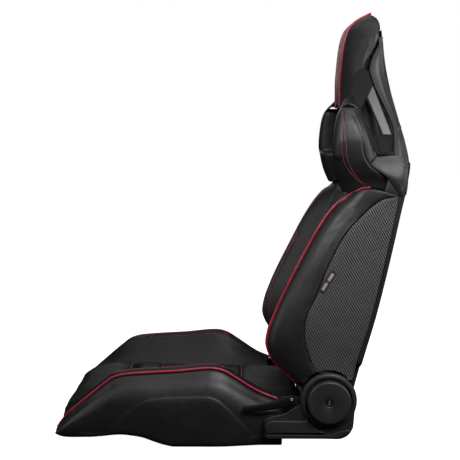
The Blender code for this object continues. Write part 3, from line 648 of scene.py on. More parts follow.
def cord_leather(name, tone):
    """The piping's skin: finely creased across its length, a soft coat on top."""
    mat, tree, shader = blank(name)
    shader.inputs["Coat Weight"].default_value = 0.35
    shader.inputs["Coat Roughness"].default_value = 0.3
    place = place_in_row(tree)
    creases = noise(tree, place, 420.0, 3.0)
    colour = shade(tree, noise(tree, place, 70.0, 4.0), times(0.75, tone), times(1.2, tone))
    connect(tree, shader, colour=colour, roughness=span(tree, creases, 0.34, 0.5),
            normal=relief(tree, creases, 0.0003, 0.4))
    return mat


def thread(name, tone):
    """Twisted sewing thread."""
    mat, tree, shader = blank(name)
    shader.inputs["Sheen Weight"].default_value = 0.3
    place = place_in_row(tree)
    twist = add(tree, "ShaderNodeTexWave", {"Vector": place, "Scale": 700.0, "Distortion": 1.0},
                bands_direction="DIAGONAL").outputs["Fac"]
    colour = shade(tree, twist, times(0.6, tone), tone)
    connect(tree, shader, colour=colour, roughness=span(tree, twist, 0.55, 0.75),
            normal=relief(tree, twist, 0.0002, 0.5))
    return mat


def moulded_plastic(name, tone, roughness, shine=0.5):
    """Moulded plastic with a fine spark-eroded grain and faint handling marks."""
    mat, tree, shader = blank(name)
    shader.inputs["Specular IOR Level"].default_value = shine
    place = place_in_row(tree)
    grain = noise(tree, place, 1500.0, 2.0)
    marks = noise(tree, place, 33.0, 6.0, 0.65)
    colour = shade(tree, marks, times(0.85, tone), times(1.15, tone))
    connect(tree, shader, colour=colour, roughness=span(tree, marks, roughness - 0.06, roughness + 0.08),
            normal=relief(tree, grain, 0.00012, 0.35))
    return mat


def steel(name, tone, roughness, metallic, scale):
    """Painted or plated steel: orange peel or spangle, with darker soiled patches."""
    mat, tree, shader = blank(name)
    shader.inputs["Metallic"].default_value = metallic
    place = place_in_row(tree)
    patches = noise(tree, place, 45.0, 6.0, 0.7)
    peel = noise(tree, place, scale, 2.0)
    colour = shade(tree, patches, times(0.7, tone), times(1.1, tone))
    connect(tree, shader, colour=colour, roughness=span(tree, patches, roughness + 0.1, roughness - 0.05),
            normal=relief(tree, peel, 0.0002, 0.3))
    return mat


def woven_tag(name):
    """A woven label: fine weave, a pale band and a small red block, no lettering."""
    mat, tree, shader = blank(name)
    place = place_in_row(tree)

    def distance_along(direction):
        moved = maths(tree, "SUBTRACT", dot(tree, place, direction), direction.dot(TAG_MIDDLE))
        return maths(tree, "ABSOLUTE", moved)

    def rectangle(half_length):
        inside = [maths(tree, "LESS_THAN", value, limit)
                  for value, limit in ((long_way, half_length), (short_way, 0.003))]
        return maths(tree, "MULTIPLY", *inside)

    long_way, short_way = distance_along(TAG_ALONG), distance_along(TAG_ACROSS)
    band, block = rectangle(0.02), rectangle(0.003)
    weave = add(tree, "ShaderNodeTexVoronoi", {"Vector": place, "Scale": 1300.0, "Randomness": 0.1},
                distance="CHEBYCHEV").outputs["Distance"]
    ground = shade(tree, weave, (0.01, 0.01, 0.011), (0.026, 0.026, 0.028), 0.1, 0.6)
    pale = shade(tree, weave, (0.2, 0.2, 0.21), (0.46, 0.46, 0.47), 0.1, 0.6)
    red = shade(tree, weave, (0.12, 0.006, 0.015), (0.3, 0.015, 0.035), 0.1, 0.6)
    banded = add(tree, "ShaderNodeMix", {0: band, 6: ground, 7: pale}, data_type="RGBA").outputs[2]
    blocked = add(tree, "ShaderNodeMix", {0: block, 6: banded, 7: red}, data_type="RGBA").outputs[2]
    connect(tree, shader, colour=blocked, roughness=span(tree, weave, 0.7, 0.9),
            normal=relief(tree, weave, 0.0003, 0.6))
    return mat


RIB_PITCH = 0.0046
RIB_NORMAL = Vector((0.0, math.cos(math.radians(30.0)), math.sin(math.radians(30.0))))
RIB_ALONG = Vector((0.0, -RIB_NORMAL.z, RIB_NORMAL.y))
TAG_LOW, TAG_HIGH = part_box("side_tag")
TAG_MIDDLE = 0.5 * (TAG_LOW + TAG_HIGH)
TAG_ALONG = Vector((0.0, 0.54, 0.842)).normalized()
TAG_ACROSS = Vector((0.0, TAG_ALONG.z, -TAG_ALONG.y))

LEATHER = leather("leatherette", (0.017, 0.017, 0.018), 0.4)
LEATHER_INSERT = leather("leatherette_insert", (0.01, 0.01, 0.011), 0.52, 0.5, 0.25)
# a darker copy of the leatherette: painted shade on the cushion bolsters
LEATHER_SHADED = leather("leatherette_seat", (0.0105, 0.0105, 0.011), 0.44, 0.4, 0.3)
SHELL = leather("shell_vinyl", (0.013, 0.013, 0.014), 0.48)
RIBBED = ribbed_vinyl("ribbed_vinyl")
PIPING = cord_leather("red_piping", (0.38, 0.016, 0.046))
THREAD = thread("red_thread", (0.5, 0.07, 0.1))
PLASTIC = moulded_plastic("satin_plastic", (0.026, 0.026, 0.027), 0.4)
# a paler copy of the satin plastic: painted highlight on the bezel rail and lip and on the slot liner
PLASTIC_LIT = moulded_plastic("satin_plastic_rail", (0.11, 0.11, 0.113), 0.36)
# a darker copy of the satin plastic: painted shade on the recessed bezel plate, its sill and collar, and
# on the lever grip
PLASTIC_SHADED = moulded_plastic("satin_plastic_plate", (0.006, 0.006, 0.0065), 0.55, 0.16)
STEEL = steel("black_steel", (0.03, 0.03, 0.032), 0.42, 0.4, 500.0)
ZINC = steel("zinc_steel", (0.45, 0.45, 0.46), 0.32, 1.0, 160.0)
TAG = woven_tag("tag_fabric")


# ---- placing pieces --------------------------------------------------------------------
def dress(obj, body, slot, nodes=(), fill=None):
    """The piece rides on its body and stands for its CAD nodes; fill is not used."""
    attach(obj, body)
    if nodes:
        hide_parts(*nodes)
    return obj


def pair(left, body, slot, node=None, fill=None):
    """Dress a left piece, whose name ends in _L, and its mirrored twin."""
    stem = left.name[:-2]
    right = mirrored(left, stem + "_R")
    for obj, side in ((left, "_L"), (right, "_R")):
        dress(obj, body, slot, [node + side] if node else (), fill)
    return left


def stitch(name, obj, path, body="backrest", pitch=0.0046, length=0.0034):
    """A row of thread, sewn and dressed; a name that ends in _L gets its mirrored twin."""
    place = pair if name.endswith("_L") else dress
    place(sew(name, obj, path, pitch, length), body, "red_piping")


def line_across(half, y, z):
    return [(x, y, z) for x in np.linspace(-half, half, 9)]


def sew_channels(stem, pad, places, side, body):
    """Sewn channels across a middle pad at its (y, z) places, a row of thread in each."""
    for number, (y, z) in enumerate(places, 1):
        sink(pad, surface_path(pad, line_across(0.125, y, z), side), 0.0045, 0.0055)
        stitch(f"{stem}_{number}", pad, surface_path(pad, line_across(0.118, y, z), side), body)


def centred(half_points):
    """Symmetric ring points from one half's points (x, other), which start and end at the middle."""
    return half_points + [(-x, other) for x, other in reversed(half_points)]


# ---- cushion ---------------------------------------------------------------------------
def cushion_pad(name, y0, y1):
    """The cushion's middle: a crowned pad whose edges round over into the seams."""
    y = stations(y0, y1, 0.006, 0.006)
    top = cushion_mid(y)
    w = CENTRE_X - 0.0005
    half = [(0.5 * w, FLOOR_Z), (w - 0.006, FLOOR_Z), (w, FLOOR_Z + 0.006), (w, top - 0.02),
            (w - 0.004, top - 0.008), (w - 0.014, top - 0.002), (0.085, top), (0.04, top - 0.002)]
    rings = spline(along(y, *centred(half)), 5)
    return skin(name, round_ends(rings, 0.006), LEATHER_INSERT)


def make_cushion():
    thigh = cushion_pad("thigh_roll_cover", PAD_NOSE_Y, SEAT_JOIN_Y)
    seat = cushion_pad("seat_centre_cover", SEAT_JOIN_Y + SEAM_GAP, SEAT_END_Y)
    inflate(thigh, (0.0015, 0.002, 0.006))
    inflate(seat, (0.0015, 0.001, 0.006))
    places = [(y, SEAT_RAY_Z) for y in np.arange(SEAT_JOIN_Y + CHANNEL_PITCH, 0.06, CHANNEL_PITCH)]
    sew_channels("seat_channel_stitches", seat, places, UP, "seat_base")
    dress(thigh, "seat_base", "leatherette", ["thigh_roll"], 0.8)
    dress(seat, "seat_base", "leatherette", ["seat_centre"], 0.7)
    edge = surface_path(thigh, line_across(0.128, SEAT_JOIN_Y - 0.011, SEAT_RAY_Z), UP)
    stitch("thigh_roll_stitches", thigh, edge, "seat_base")

    y = stations(PAD_NOSE_Y, 0.078, 0.004, 0.004)
    top, mid, dx = cushion_top(y), cushion_mid(y), cushion_half(y) - SIDE_X
    rise = top - FLOOR_Z
    k = steepness(y)
    edge_x = CENTRE_X + SEAM_GAP
    rings = spline(along(
        y,
        (edge_x, FLOOR_Z), (0.226 + dx, FLOOR_Z), (0.2285 + dx, FLOOR_Z + 0.4 * rise),
        (0.2205 + dx, FLOOR_Z + 0.75 * rise), (0.2105 + dx, top - 0.0052 * k), (0.206 + dx, top + 0.0006),
        (0.192 + 0.6 * dx, top + 0.0044 * k), (0.174 + 0.3 * dx, 0.6 * top + 0.4 * mid + 0.003),
        (edge_x + 0.01, 0.18 * top + 0.82 * mid), (edge_x + 0.001, mid - 0.004),
        (edge_x, mid - 0.012)), 7)
    # the bolster in the darker leatherette copy, which paints its shade
    bolster = skin("cushion_bolster_cover_L", round_ends(rings, 0.004), LEATHER_SHADED)
    seam_y = np.linspace(PAD_NOSE_Y + 0.022, 0.06, 12)
    seam = surface_path(bolster, [(0.19 + 0.6 * (cushion_half(v) - SIDE_X), v, BOLSTER_RAY_Z)
                                  for v in seam_y], UP)
    sink(bolster, seam, 0.0016, 0.0022)
    pair(bolster, "seat_base", "leatherette", "cushion_bolster", 0.8)
    for label, shift in (("inner", -ROW_SHIFT), ("outer", ROW_SHIFT)):
        row = surface_path(bolster, [(p[0] + shift, p[1], BOLSTER_RAY_Z) for p in seam[::30]], UP)
        stitch(f"cushion_bolster_stitches_{label}_L", bolster, row, "seat_base")

    y = stations(NOSE_Y, CUSHION_END_Y, 0.0025, 0.003)
    top, out, low, dx = cushion_top(y), cushion_half(y), skirt_low(y), cushion_half(y) - SIDE_X
    drop = top - low
    low_foam = np.minimum(FLOOR_Z, top - 0.006)
    foam = top - low_foam
    k = np.minimum(steepness(y), 90.0 * drop)
    rings = spline(along(
        y,
        (0.2158 + dx, top - 0.0062 * k), (0.2195 + dx, top - 0.0042 * k),
        (0.229 + dx, top - 0.09 * drop - 0.004),
        (0.5 * (0.229 + dx) + 0.5 * out, top - 0.2 * drop - 0.002), (out - 0.0022, top - 0.38 * drop),
        (out, low + 0.42 * drop), (out - 0.0012, low + 0.16 * drop), (out - 0.004, low + 0.03 * drop),
        (out - 0.008, low), (0.233 + dx, low), (0.2302 + dx, low + 0.05 * drop),
        (0.2304 + dx, low_foam + 0.42 * foam), (0.2228 + dx, low_foam + 0.76 * foam)),
        [4, 6, 10, 14, 16, 16, 8, 5, 4, 3, 6, 6, 6])
    side = skin("cushion_side_cover_L", round_ends(rings, 0.003), LEATHER)
    push(side, lambda x, y, z: -0.0013 * fade(trapeze_seam(y) - z, 0.0, 0.004) * fade(x, 0.236, 0.24))
    seam = surface_path(side, [(0.25, v, trapeze_seam(v)) for v in np.linspace(-0.258, 0.032, 40)])
    sink(side, seam, 0.0012, 0.0018)
    pair(side, "seat_base", "leatherette", "cushion_side_panel", 0.9)

    y = np.concatenate([np.linspace(-0.3765, -0.33, 12), np.linspace(-0.32, 0.088, 35)])
    path = np.stack([0.2152 + cushion_half(y) - SIDE_X, y, cushion_top(y) - 0.0003], axis=1)
    pair(tube("cushion_piping_cord_L", path_of(path, 0.002), PIPE_R, PIPING), "seat_base", "red_piping",
         "cushion_piping")


# ---- lower back ------------------------------------------------------------------------
RECLINER_CLEARANCE = 0.0585
BELOW_SEAM = SPLIT_Z - 0.06                                # lower pieces start to bend here
ABOVE_SEAM = SPLIT_Z + 0.05                                # and shoulder pieces here


def follow_seam(obj, start):
    """Bend a piece from start to the lower back's top, so that its end follows the seam there."""
    co = coordinates(obj)
    co[:, 2] += seam_rise(co[:, 1]) * fade(co[:, 2], start, SPLIT_Z)
    set_coordinates(obj, co)


def clear_recliner(obj):
    """Points beside the recliner move out to the circle that the cover needs."""
    co = coordinates(obj)
    dy, dz = co[:, 1] - AXIS.y, co[:, 2] - AXIS.z
    radius = np.hypot(dy, dz)
    grow = np.maximum(1.0, RECLINER_CLEARANCE / np.maximum(radius, 1e-6))
    co[:, 1] = AXIS.y + dy * grow
    co[:, 2] = AXIS.z + dz * grow
    set_coordinates(obj, co)


def cheek_step(z):
    """How far behind its front the bolster reaches its full width."""
    front = bolster_front(z)
    return np.minimum(np.minimum(0.06, 0.6 * (rear(z) - BACK_DEPTH - front)),
                      side_seam(z) - 0.006 - front)


def back_pad(name, z, w):
    """A crowned middle pad of the back."""
    front = centre_front(z)
    back = rear(z) - BACK_DEPTH
    half = [(0.5 * w, back), (w - 0.005, back), (w, back - 0.005), (w, front + 0.02),
            (w - 0.004, front + 0.007), (w - 0.014, front + 0.001), (0.6 * w, front - 0.001),
            (0.28 * w, front + 0.001)]
    return skin(name, round_ends(spline(across(z, *centred(half)), 5), 0.006), LEATHER_INSERT)


def make_lower_back():
    z = stations(BACK_LOW_Z, SPLIT_Z, 0.006, 0.006)
    centre = back_pad("back_centre_cover", z, CENTRE_X - 0.0005)
    inflate(centre, (0.0015, 0.006, 0.001))
    places = [(0.0, height) for height in np.arange(0.215, 0.5, CHANNEL_PITCH)]
    sew_channels("back_channel_stitches", centre, places, FORWARDS, "backrest")
    dress(centre, "backrest", "leatherette", ["back_centre"], 0.7)

    z = stations(BACK_LOW_Z, SPLIT_Z, 0.004, 0.004)
    front, back, mid = bolster_front(z), rear(z) - BACK_DEPTH, centre_front(z)
    out = 0.2222 + 0.009 * fade(z, 0.3, 0.33)
    step = cheek_step(z)
    inner = CENTRE_X + SEAM_GAP
    rings = spline(across(
        z,
        (inner, back), (inner, np.maximum(mid + 0.008, front + 0.014)),
        (0.152, 0.85 * mid + 0.15 * front + 0.002),
        (0.163, 0.62 * mid + 0.38 * front), (0.18, 0.22 * mid + 0.78 * front), (0.193, front + 0.0002),
        (0.201, front + 0.002), (0.207, front + 0.0088), (np.minimum(0.221, out), front + 0.42 * step),
        (out, front + step), (out, back)), 7)
    bolster = skin("back_bolster_cover_L", round_ends(rings, 0.004), LEATHER)
    follow_seam(bolster, BELOW_SEAM)
    heights = np.linspace(0.16, 0.505, 14)
    seam = surface_path(bolster, [(0.184, 0.0, v) for v in heights], FORWARDS)
    sink(bolster, seam, 0.0016, 0.0022)
    pair(bolster, "backrest", "leatherette", "back_bolster", 0.8)
    for label, shift in (("inner", -ROW_SHIFT), ("outer", ROW_SHIFT)):
        row = surface_path(bolster, [(p[0] + shift, 0.0, p[2]) for p in seam[::30]], FORWARDS)
        stitch(f"back_bolster_stitches_{label}_L", bolster, row)

    z = stations(BACK_LOW_Z + 0.017, SPLIT_Z, 0.004, 0.0025)
    front, seam_y, face = bolster_front(z), side_seam(z) - 0.0004, side_face(z)
    mid = front + cheek_step(z)
    near = front + 0.42 * (mid - front)
    rings = spline(across(
        z,
        (0.2345, seam_y), (0.2342, mid - 0.004), (0.224, near - 0.001), (0.211, front + 0.0088),
        (0.215, front + 0.0066), (0.55 * 0.215 + 0.45 * face, front + 0.25 * (mid - front) + 0.003),
        (0.2 * 0.215 + 0.8 * face, 0.5 * (near + mid)), (face - 0.0004, 0.6 * mid + 0.4 * seam_y),
        (face - 0.0003, seam_y - 0.004), (face - 0.0016, seam_y - 0.0008), (face - 0.004, seam_y)),
        [5, 5, 5, 3, 10, 10, 8, 8, 5, 4, 3])
    panel = skin("side_panel_smooth_cover_L", round_ends(rings, 0.0025, low=False), LEATHER)
    follow_seam(panel, BELOW_SEAM)
    clear_recliner(panel)
    pair(panel, "backrest", "leatherette", "side_panel_smooth", 0.9)

    z = stations(BACK_LOW_Z + 0.026, SPLIT_Z - 0.0004, 0.004, 0.0025)
    seam_y, edge, face = side_seam(z), rear(z) - 0.0145, side_face(z)
    span_y = np.maximum(edge - seam_y, 0.004)
    rings = spline(across(
        z,
        (0.2338, seam_y), (face - 0.004, seam_y),
        (face - 0.0016, seam_y + np.minimum(0.0008, 0.1 * span_y)),
        (face - 0.0001, seam_y + np.minimum(0.004, 0.3 * span_y)), (face + 0.0004, seam_y + 0.5 * span_y),
        (face - 0.0014, edge - np.minimum(0.004, 0.3 * span_y)),
        (face - 0.003, edge - np.minimum(0.001, 0.1 * span_y)), (face - 0.0055, edge), (0.2338, edge)),
        [3, 3, 4, 12, 12, 4, 3, 3, 8])
    panel = skin("side_panel_ribbed_cover_L", round_ends(rings, 0.0025, low=False), RIBBED)
    follow_seam(panel, BELOW_SEAM)
    clear_recliner(panel)
    pair(panel, "backrest", "ribbed_vinyl", "side_panel_ribbed", 0.9)

    heights = np.concatenate([np.linspace(0.132, 0.26, 12), np.linspace(0.285, 0.508, 12)])
    path = [(0.2088, bolster_front(v) + 0.0028, v) for v in heights]
    path += [(0.2095, 0.226, 0.518), (0.215, 0.24, 0.53), (0.226, 0.256, 0.5385), (0.24, 0.272, 0.5425)]
    pair(tube("back_piping_cord_L", path_of(path, 0.002), PIPE_R, PIPING), "backrest", "red_piping",
         "back_piping")


def make_gap_flap():
    """A leather flap that hangs from the foot of the back towards the seat."""
    z = stations(0.07, BACK_LOW_Z + 0.002, 0.003, 0.0015)
    y = 0.23 + 0.1 * (z - 0.07)
    half = [(0.07, y + 0.0014), (0.138, y + 0.0012), (0.14, y), (0.138, y - 0.0012), (0.07, y - 0.0014)]
    flap = skin("back_gap_flap", round_ends(spline(across(z, *centred(half)), 4), 0.0012), LEATHER_INSERT)
    dress(flap, "backrest", "leatherette", fill=0.9)


def make_rear_shell():
    """The back of the lower back: a crowned panel inside a seam, edges turned forward."""
    shell_half = curve([(0.115, 0.221), (0.165, 0.2225), (0.18, 0.2435), (0.53, 0.244)])
    z = stations(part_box("rear_shell")[0].z, SPLIT_Z, 0.005, 0.003)
    y, w = rear(z), shell_half(z)
    outer = [(0.35 * w, y + 0.006), (0.74 * w, y + 0.0034), (w - 0.012, y - 0.0025),
             (w - 0.0035, y - 0.0048),
             (w - 0.0004, y - 0.0088), (w, y - 0.0138)]
    inner = [(w - 0.005, y - 0.0138), (w - 0.006, y - 0.0085), (w - 0.014, y - 0.0052),
             (0.74 * w, y - 0.0015), (0.35 * w, y + 0.0012)]
    shell = skin("rear_shell_cover", spline(across(z, *centred(outer + inner)), 8), SHELL)
    follow_seam(shell, BELOW_SEAM)
    corners = [(0.15, 0.235), (0.185, 0.262), (0.188, 0.44), (0.16, 0.485)]
    right = [(x, rear(v) + 0.005, v) for x, v in corners]
    loop = right + [(0.0, rear(0.495) + 0.006, 0.495)] + [(-x, y, v) for x, y, v in reversed(right)]
    loop += [(0.0, rear(0.225) + 0.006, 0.225), right[0]]
    sink(shell, surface_path(shell, loop, REARWARDS), 0.0022, 0.0028)
    dress(shell, "backrest", "shell_vinyl", ["rear_shell"], 0.5)
    middle = np.array([0.0, 0.0, 0.36])
    smaller = middle + (np.array(loop) - middle) * np.array([0.962, 1.0, 0.952])
    stitch("rear_shell_stitches", shell, surface_path(shell, smaller, REARWARDS))


# ---- shoulders and headrest ------------------------------------------------------------
rim_y = curve([(0.53, 0.33), (0.57, 0.31), (0.604, 0.288), (0.65, 0.271), (0.7, 0.254), (0.712, 0.25)])
WING_TOP_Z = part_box("shoulder_wing_L")[1].z
BEZEL_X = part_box("harness_bezel_L")[0].x
BEZEL_TOP_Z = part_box("harness_bezel_L")[1].z
BEZEL_LEAN = 0.4667


def bezel_lean(z):
    return BEZEL_LEAN * (BEZEL_TOP_Z - z)


def make_wings():
    z = stations(SPLIT_Z + 0.0004, WING_TOP_Z, 0.0025, 0.004)
    front, face, seam = wing_front(z), wing_face(z), wing_seam(z)
    inner = 0.1515 + 0.0345 * fade(z, 0.596, 0.606)
    back = seam + (rim_y(z) - seam) * fade(z, 0.585, 0.606)
    strip = (back - seam) / 0.02
    depth = seam - front
    lean = face - inner
    rings = spline(across(
        z,
        (inner, back), (inner, front + 0.45 * depth), (inner + 0.12 * lean, front + 0.14 * depth),
        (inner + 0.34 * lean, front + 0.01 * depth), (inner + 0.62 * lean, front),
        (inner + 0.86 * lean, front + 0.13 * depth), (inner + 0.97 * lean, front + 0.36 * depth),
        (face, front + 0.66 * depth), (face - 0.0004, seam - 0.002),
        (face - 0.001 - 0.002 * strip, seam + 0.3 * (back - seam)),
        (face - 0.0035 - 0.006 * strip, seam + 0.75 * (back - seam)),
        (face - 0.008 - 0.012 * strip, back)),
        [5, 5, 5, 6, 8, 10, 10, 12, 6, 8, 6, 5])
    wing = skin("shoulder_wing_cover_L", round_ends(rings, 0.004), LEATHER)
    follow_seam(wing, ABOVE_SEAM)
    rear_seam = surface_path(wing, [(0.25, wing_seam(v), v) for v in np.linspace(0.556, 0.69, 24)])
    sink(wing, rear_seam, 0.0016, 0.002)
    main = [(0.25, 0.22, v) for v in np.linspace(0.698, 0.615, 9)]
    main += [(0.25, 0.224, 0.596), (0.25, 0.233, 0.578), (0.25, 0.247, 0.561), (0.25, 0.263, 0.5475)]
    seam_path = surface_path(wing, main)
    sink(wing, seam_path, 0.001, 0.0014)
    pair(wing, "backrest", "leatherette", "shoulder_wing", 0.8)
    for label, shift in (("front", -0.004), ("rear", 0.0042)):
        row = surface_path(wing, [(x, y + shift, v - 0.35 * shift * fade(v, 0.6, 0.57))
                                  for x, y, v in main])
        stitch(f"shoulder_wing_stitches_{label}_L", wing, row, "backrest", 0.0042, 0.003)


def make_upper_back():
    z = stations(SPLIT_Z + 0.0004, HEAD_LOW_Z - 0.0006, 0.006, 0.006)
    w = 0.15 - 0.031 * fade(z, 0.596, 0.606)
    pad = back_pad("upper_back_cover", z, w)
    inflate(pad, (0.001, 0.006, 0.001))
    dress(pad, "backrest", "leatherette", ["upper_back_centre"], 0.7)
    stitch("upper_back_stitches", pad, surface_path(pad, line_across(0.112, 0.0, 0.56), FORWARDS))


def make_rear_cover():
    """The leather over the back of the shoulders and headrest, its edges turned forward."""
    z = stations(SPLIT_Z + 0.0004, 0.8675, 0.003, 0.003)
    narrow = np.where(z > 0.7, head_half(np.maximum(z, 0.705)) - 0.0008, 0.1222)
    wide = 0.244 - 0.008 * fade(z, 0.53, 0.6)
    w = wide + (narrow - wide) * fade(z, 0.588, 0.607)
    y = rear(z) - 0.0035 * fade(z, 0.84, 0.8675)
    leg = y - 0.0405 - 0.005 * fade(z, 0.61, 0.595)
    leg = np.where(z > 0.78, np.maximum(leg, cover_seam(z) + 0.0004), leg)
    deep = y - leg
    outer = [(0.36 * w, y + 0.004), (0.72 * w, y + 0.0018),
             (w - 0.013, y - np.minimum(0.0045, 0.2 * deep)),
             (w - 0.0035, y - np.minimum(0.01, 0.4 * deep)),
             (w - 0.0002, y - np.minimum(0.015, 0.5 * deep)),
             (w, y - np.minimum(0.026, 0.7 * deep)), (w - 0.001, leg + 0.08 * deep), (w - 0.0035, leg)]
    inner = [(w - 0.009, leg), (w - 0.01, y - np.minimum(0.022, 0.8 * deep)),
             (w - 0.018, y - np.minimum(0.013, 0.7 * deep)), (0.72 * w, y - 0.009), (0.36 * w, y - 0.007)]
    cover = skin("upper_rear_cover_skin", spline(across(z, *centred(outer + inner)), 7), LEATHER)
    follow_seam(cover, ABOVE_SEAM)
    back_seam = surface_path(cover, [(x, 0.4, 0.668 - 0.004 * (x / 0.1) ** 2)
                                     for x in np.linspace(-0.118, 0.118, 9)], REARWARDS)
    sink(cover, back_seam, 0.002, 0.0026)
    dress(cover, "backrest", "leatherette", ["upper_rear_cover"], 0.6)
    for label, shift in (("upper", 0.0055), ("lower", -0.0055)):
        row = surface_path(cover, [(p[0], 0.4, p[2] + shift) for p in back_seam[::30]], REARWARDS)
        stitch(f"rear_cover_stitches_{label}", cover, row)


def make_flanks():
    """The leather beside a harness slot: over the wing's rear seam, up to the headrest."""
    z = np.concatenate([stations(SPLIT_Z + 0.0006, SLOT_FLOOR_Z, 0.003, 0.003), [0.6075],
                        stations(SLOT_FLOOR_Z + 0.007, 0.852, 0.004, 0.004)])
    below = curve([(0.53, 0.333), (0.553, 0.3145), (0.569, 0.2985), (0.588, 0.274), (0.604, 0.265)])(z)
    behind = curve([(0.608, 0.3225), (0.65, 0.3252), (0.752, 0.2897), (0.785, 0.2814), (0.8, 0.2842),
                    (0.815, 0.2904), (0.837, 0.3014), (0.852, 0.3062)])(z)
    front = np.where(z < 0.606, below, behind)
    face = curve([(0.53, 0.2468), (0.56, 0.2455), (0.585, 0.2375), (0.607, 0.226), (0.64, 0.209),
                  (0.7, 0.177), (0.75, 0.153), (0.79, 0.137), (0.82, 0.1275), (0.852, 0.1205)])(z)
    back = rear(z) - 0.0015 - 0.005 * fade(z, 0.53, 0.58) * fade(z, 0.83, 0.76)
    rings = spline(across(
        z,
        (face - 0.004, front), (face - 0.0012, front + 0.001), (face, front + 0.005),
        (face + 0.001, 0.5 * (front + back)), (face - 0.0015, back - 0.01), (face - 0.008, back - 0.0016),
        (face - 0.017, back), (face - 0.02, back - 0.006), (face - 0.015, 0.5 * (front + back)),
        (face - 0.013, front + 0.001)), [3, 4, 8, 8, 5, 5, 4, 4, 6, 4])
    flank = skin("shoulder_flank_cover_L", rings, LEATHER)
    follow_seam(flank, ABOVE_SEAM)
    crease = surface_path(flank, [(0.25, 0.325, 0.66), (0.25, 0.335, 0.664), (0.25, 0.344, 0.668)])
    sink(flank, crease, 0.0016, 0.0022)
    pair(flank, "backrest", "leatherette", None, 0.6)


def make_headrest():
    """The headrest: a pad whose face narrows forwards to the piping that frames it."""
    z = stations(HEAD_LOW_Z, HEAD_TOP_Z, 0.004, 0.003)
    w, front = head_half(z), head_front(z)
    edge = np.minimum(np.maximum(rear(z) - HEAD_DEPTH, cover_seam(z) - 0.0006), rear(z) - 0.002)
    back = np.where(z < 0.866, rear(z) - HEAD_DEPTH, edge)
    depth = edge - front
    half = [(0.4 * w, back), (0.68 * w, back), (0.86 * w, 0.4 * back + 0.6 * edge), (0.965 * w, edge),
            (w, edge - 0.0045), (0.985 * w, front + 0.8 * depth), (0.9 * w, front + 0.6 * depth),
            (0.78 * w, front + 0.4 * depth), (0.6 * w, front + 0.19 * depth), (0.44 * w, front + 0.0038),
            (0.24 * w, front + 0.0004)]
    pad = skin("headrest_cover", round_ends(spline(across(z, *centred(half)), 6), 0.003), LEATHER)
    inflate(pad, (0.0008, 0.0015, 0.0008), voxel=0.004)
    dress(pad, "backrest", "leatherette", ["headrest_pad"], 0.8)
    inset_line = [(0.3 * head_half(v), 0.0, v) for v in (0.725, 0.76, 0.8, 0.835, 0.858)]
    loop = inset_line + [(0.0, 0.0, 0.88)] + [(-x, y, v) for x, y, v in reversed(inset_line)]
    stitch("headrest_stitches", pad, surface_path(pad, loop, FORWARDS))

    def corner(v):
        widen = (head_half(v + 0.002) - head_half(v - 0.002)) / 0.004
        recede = (head_front(v + 0.002) - head_front(v - 0.002)) / 0.004
        out = Vector((0.6, -1.0, recede - 0.6 * widen)).normalized() * 0.0026
        return Vector((0.42 * head_half(v), head_front(v) + 0.0036, v)) + out

    side = [corner(v) for v in (0.7065, 0.735, 0.765, 0.795, 0.82, 0.838, 0.852, 0.862, 0.872,
                                0.883, 0.893, 0.9)]
    trim = side + [Vector((0.0, 0.296, 0.9105))] + [Vector((-p.x, p.y, p.z)) for p in reversed(side)]
    dress(tube("headrest_piping_cord", path_of(trim, 0.002), PIPE_R, PIPING), "backrest", "red_piping",
          ["headrest_piping"])


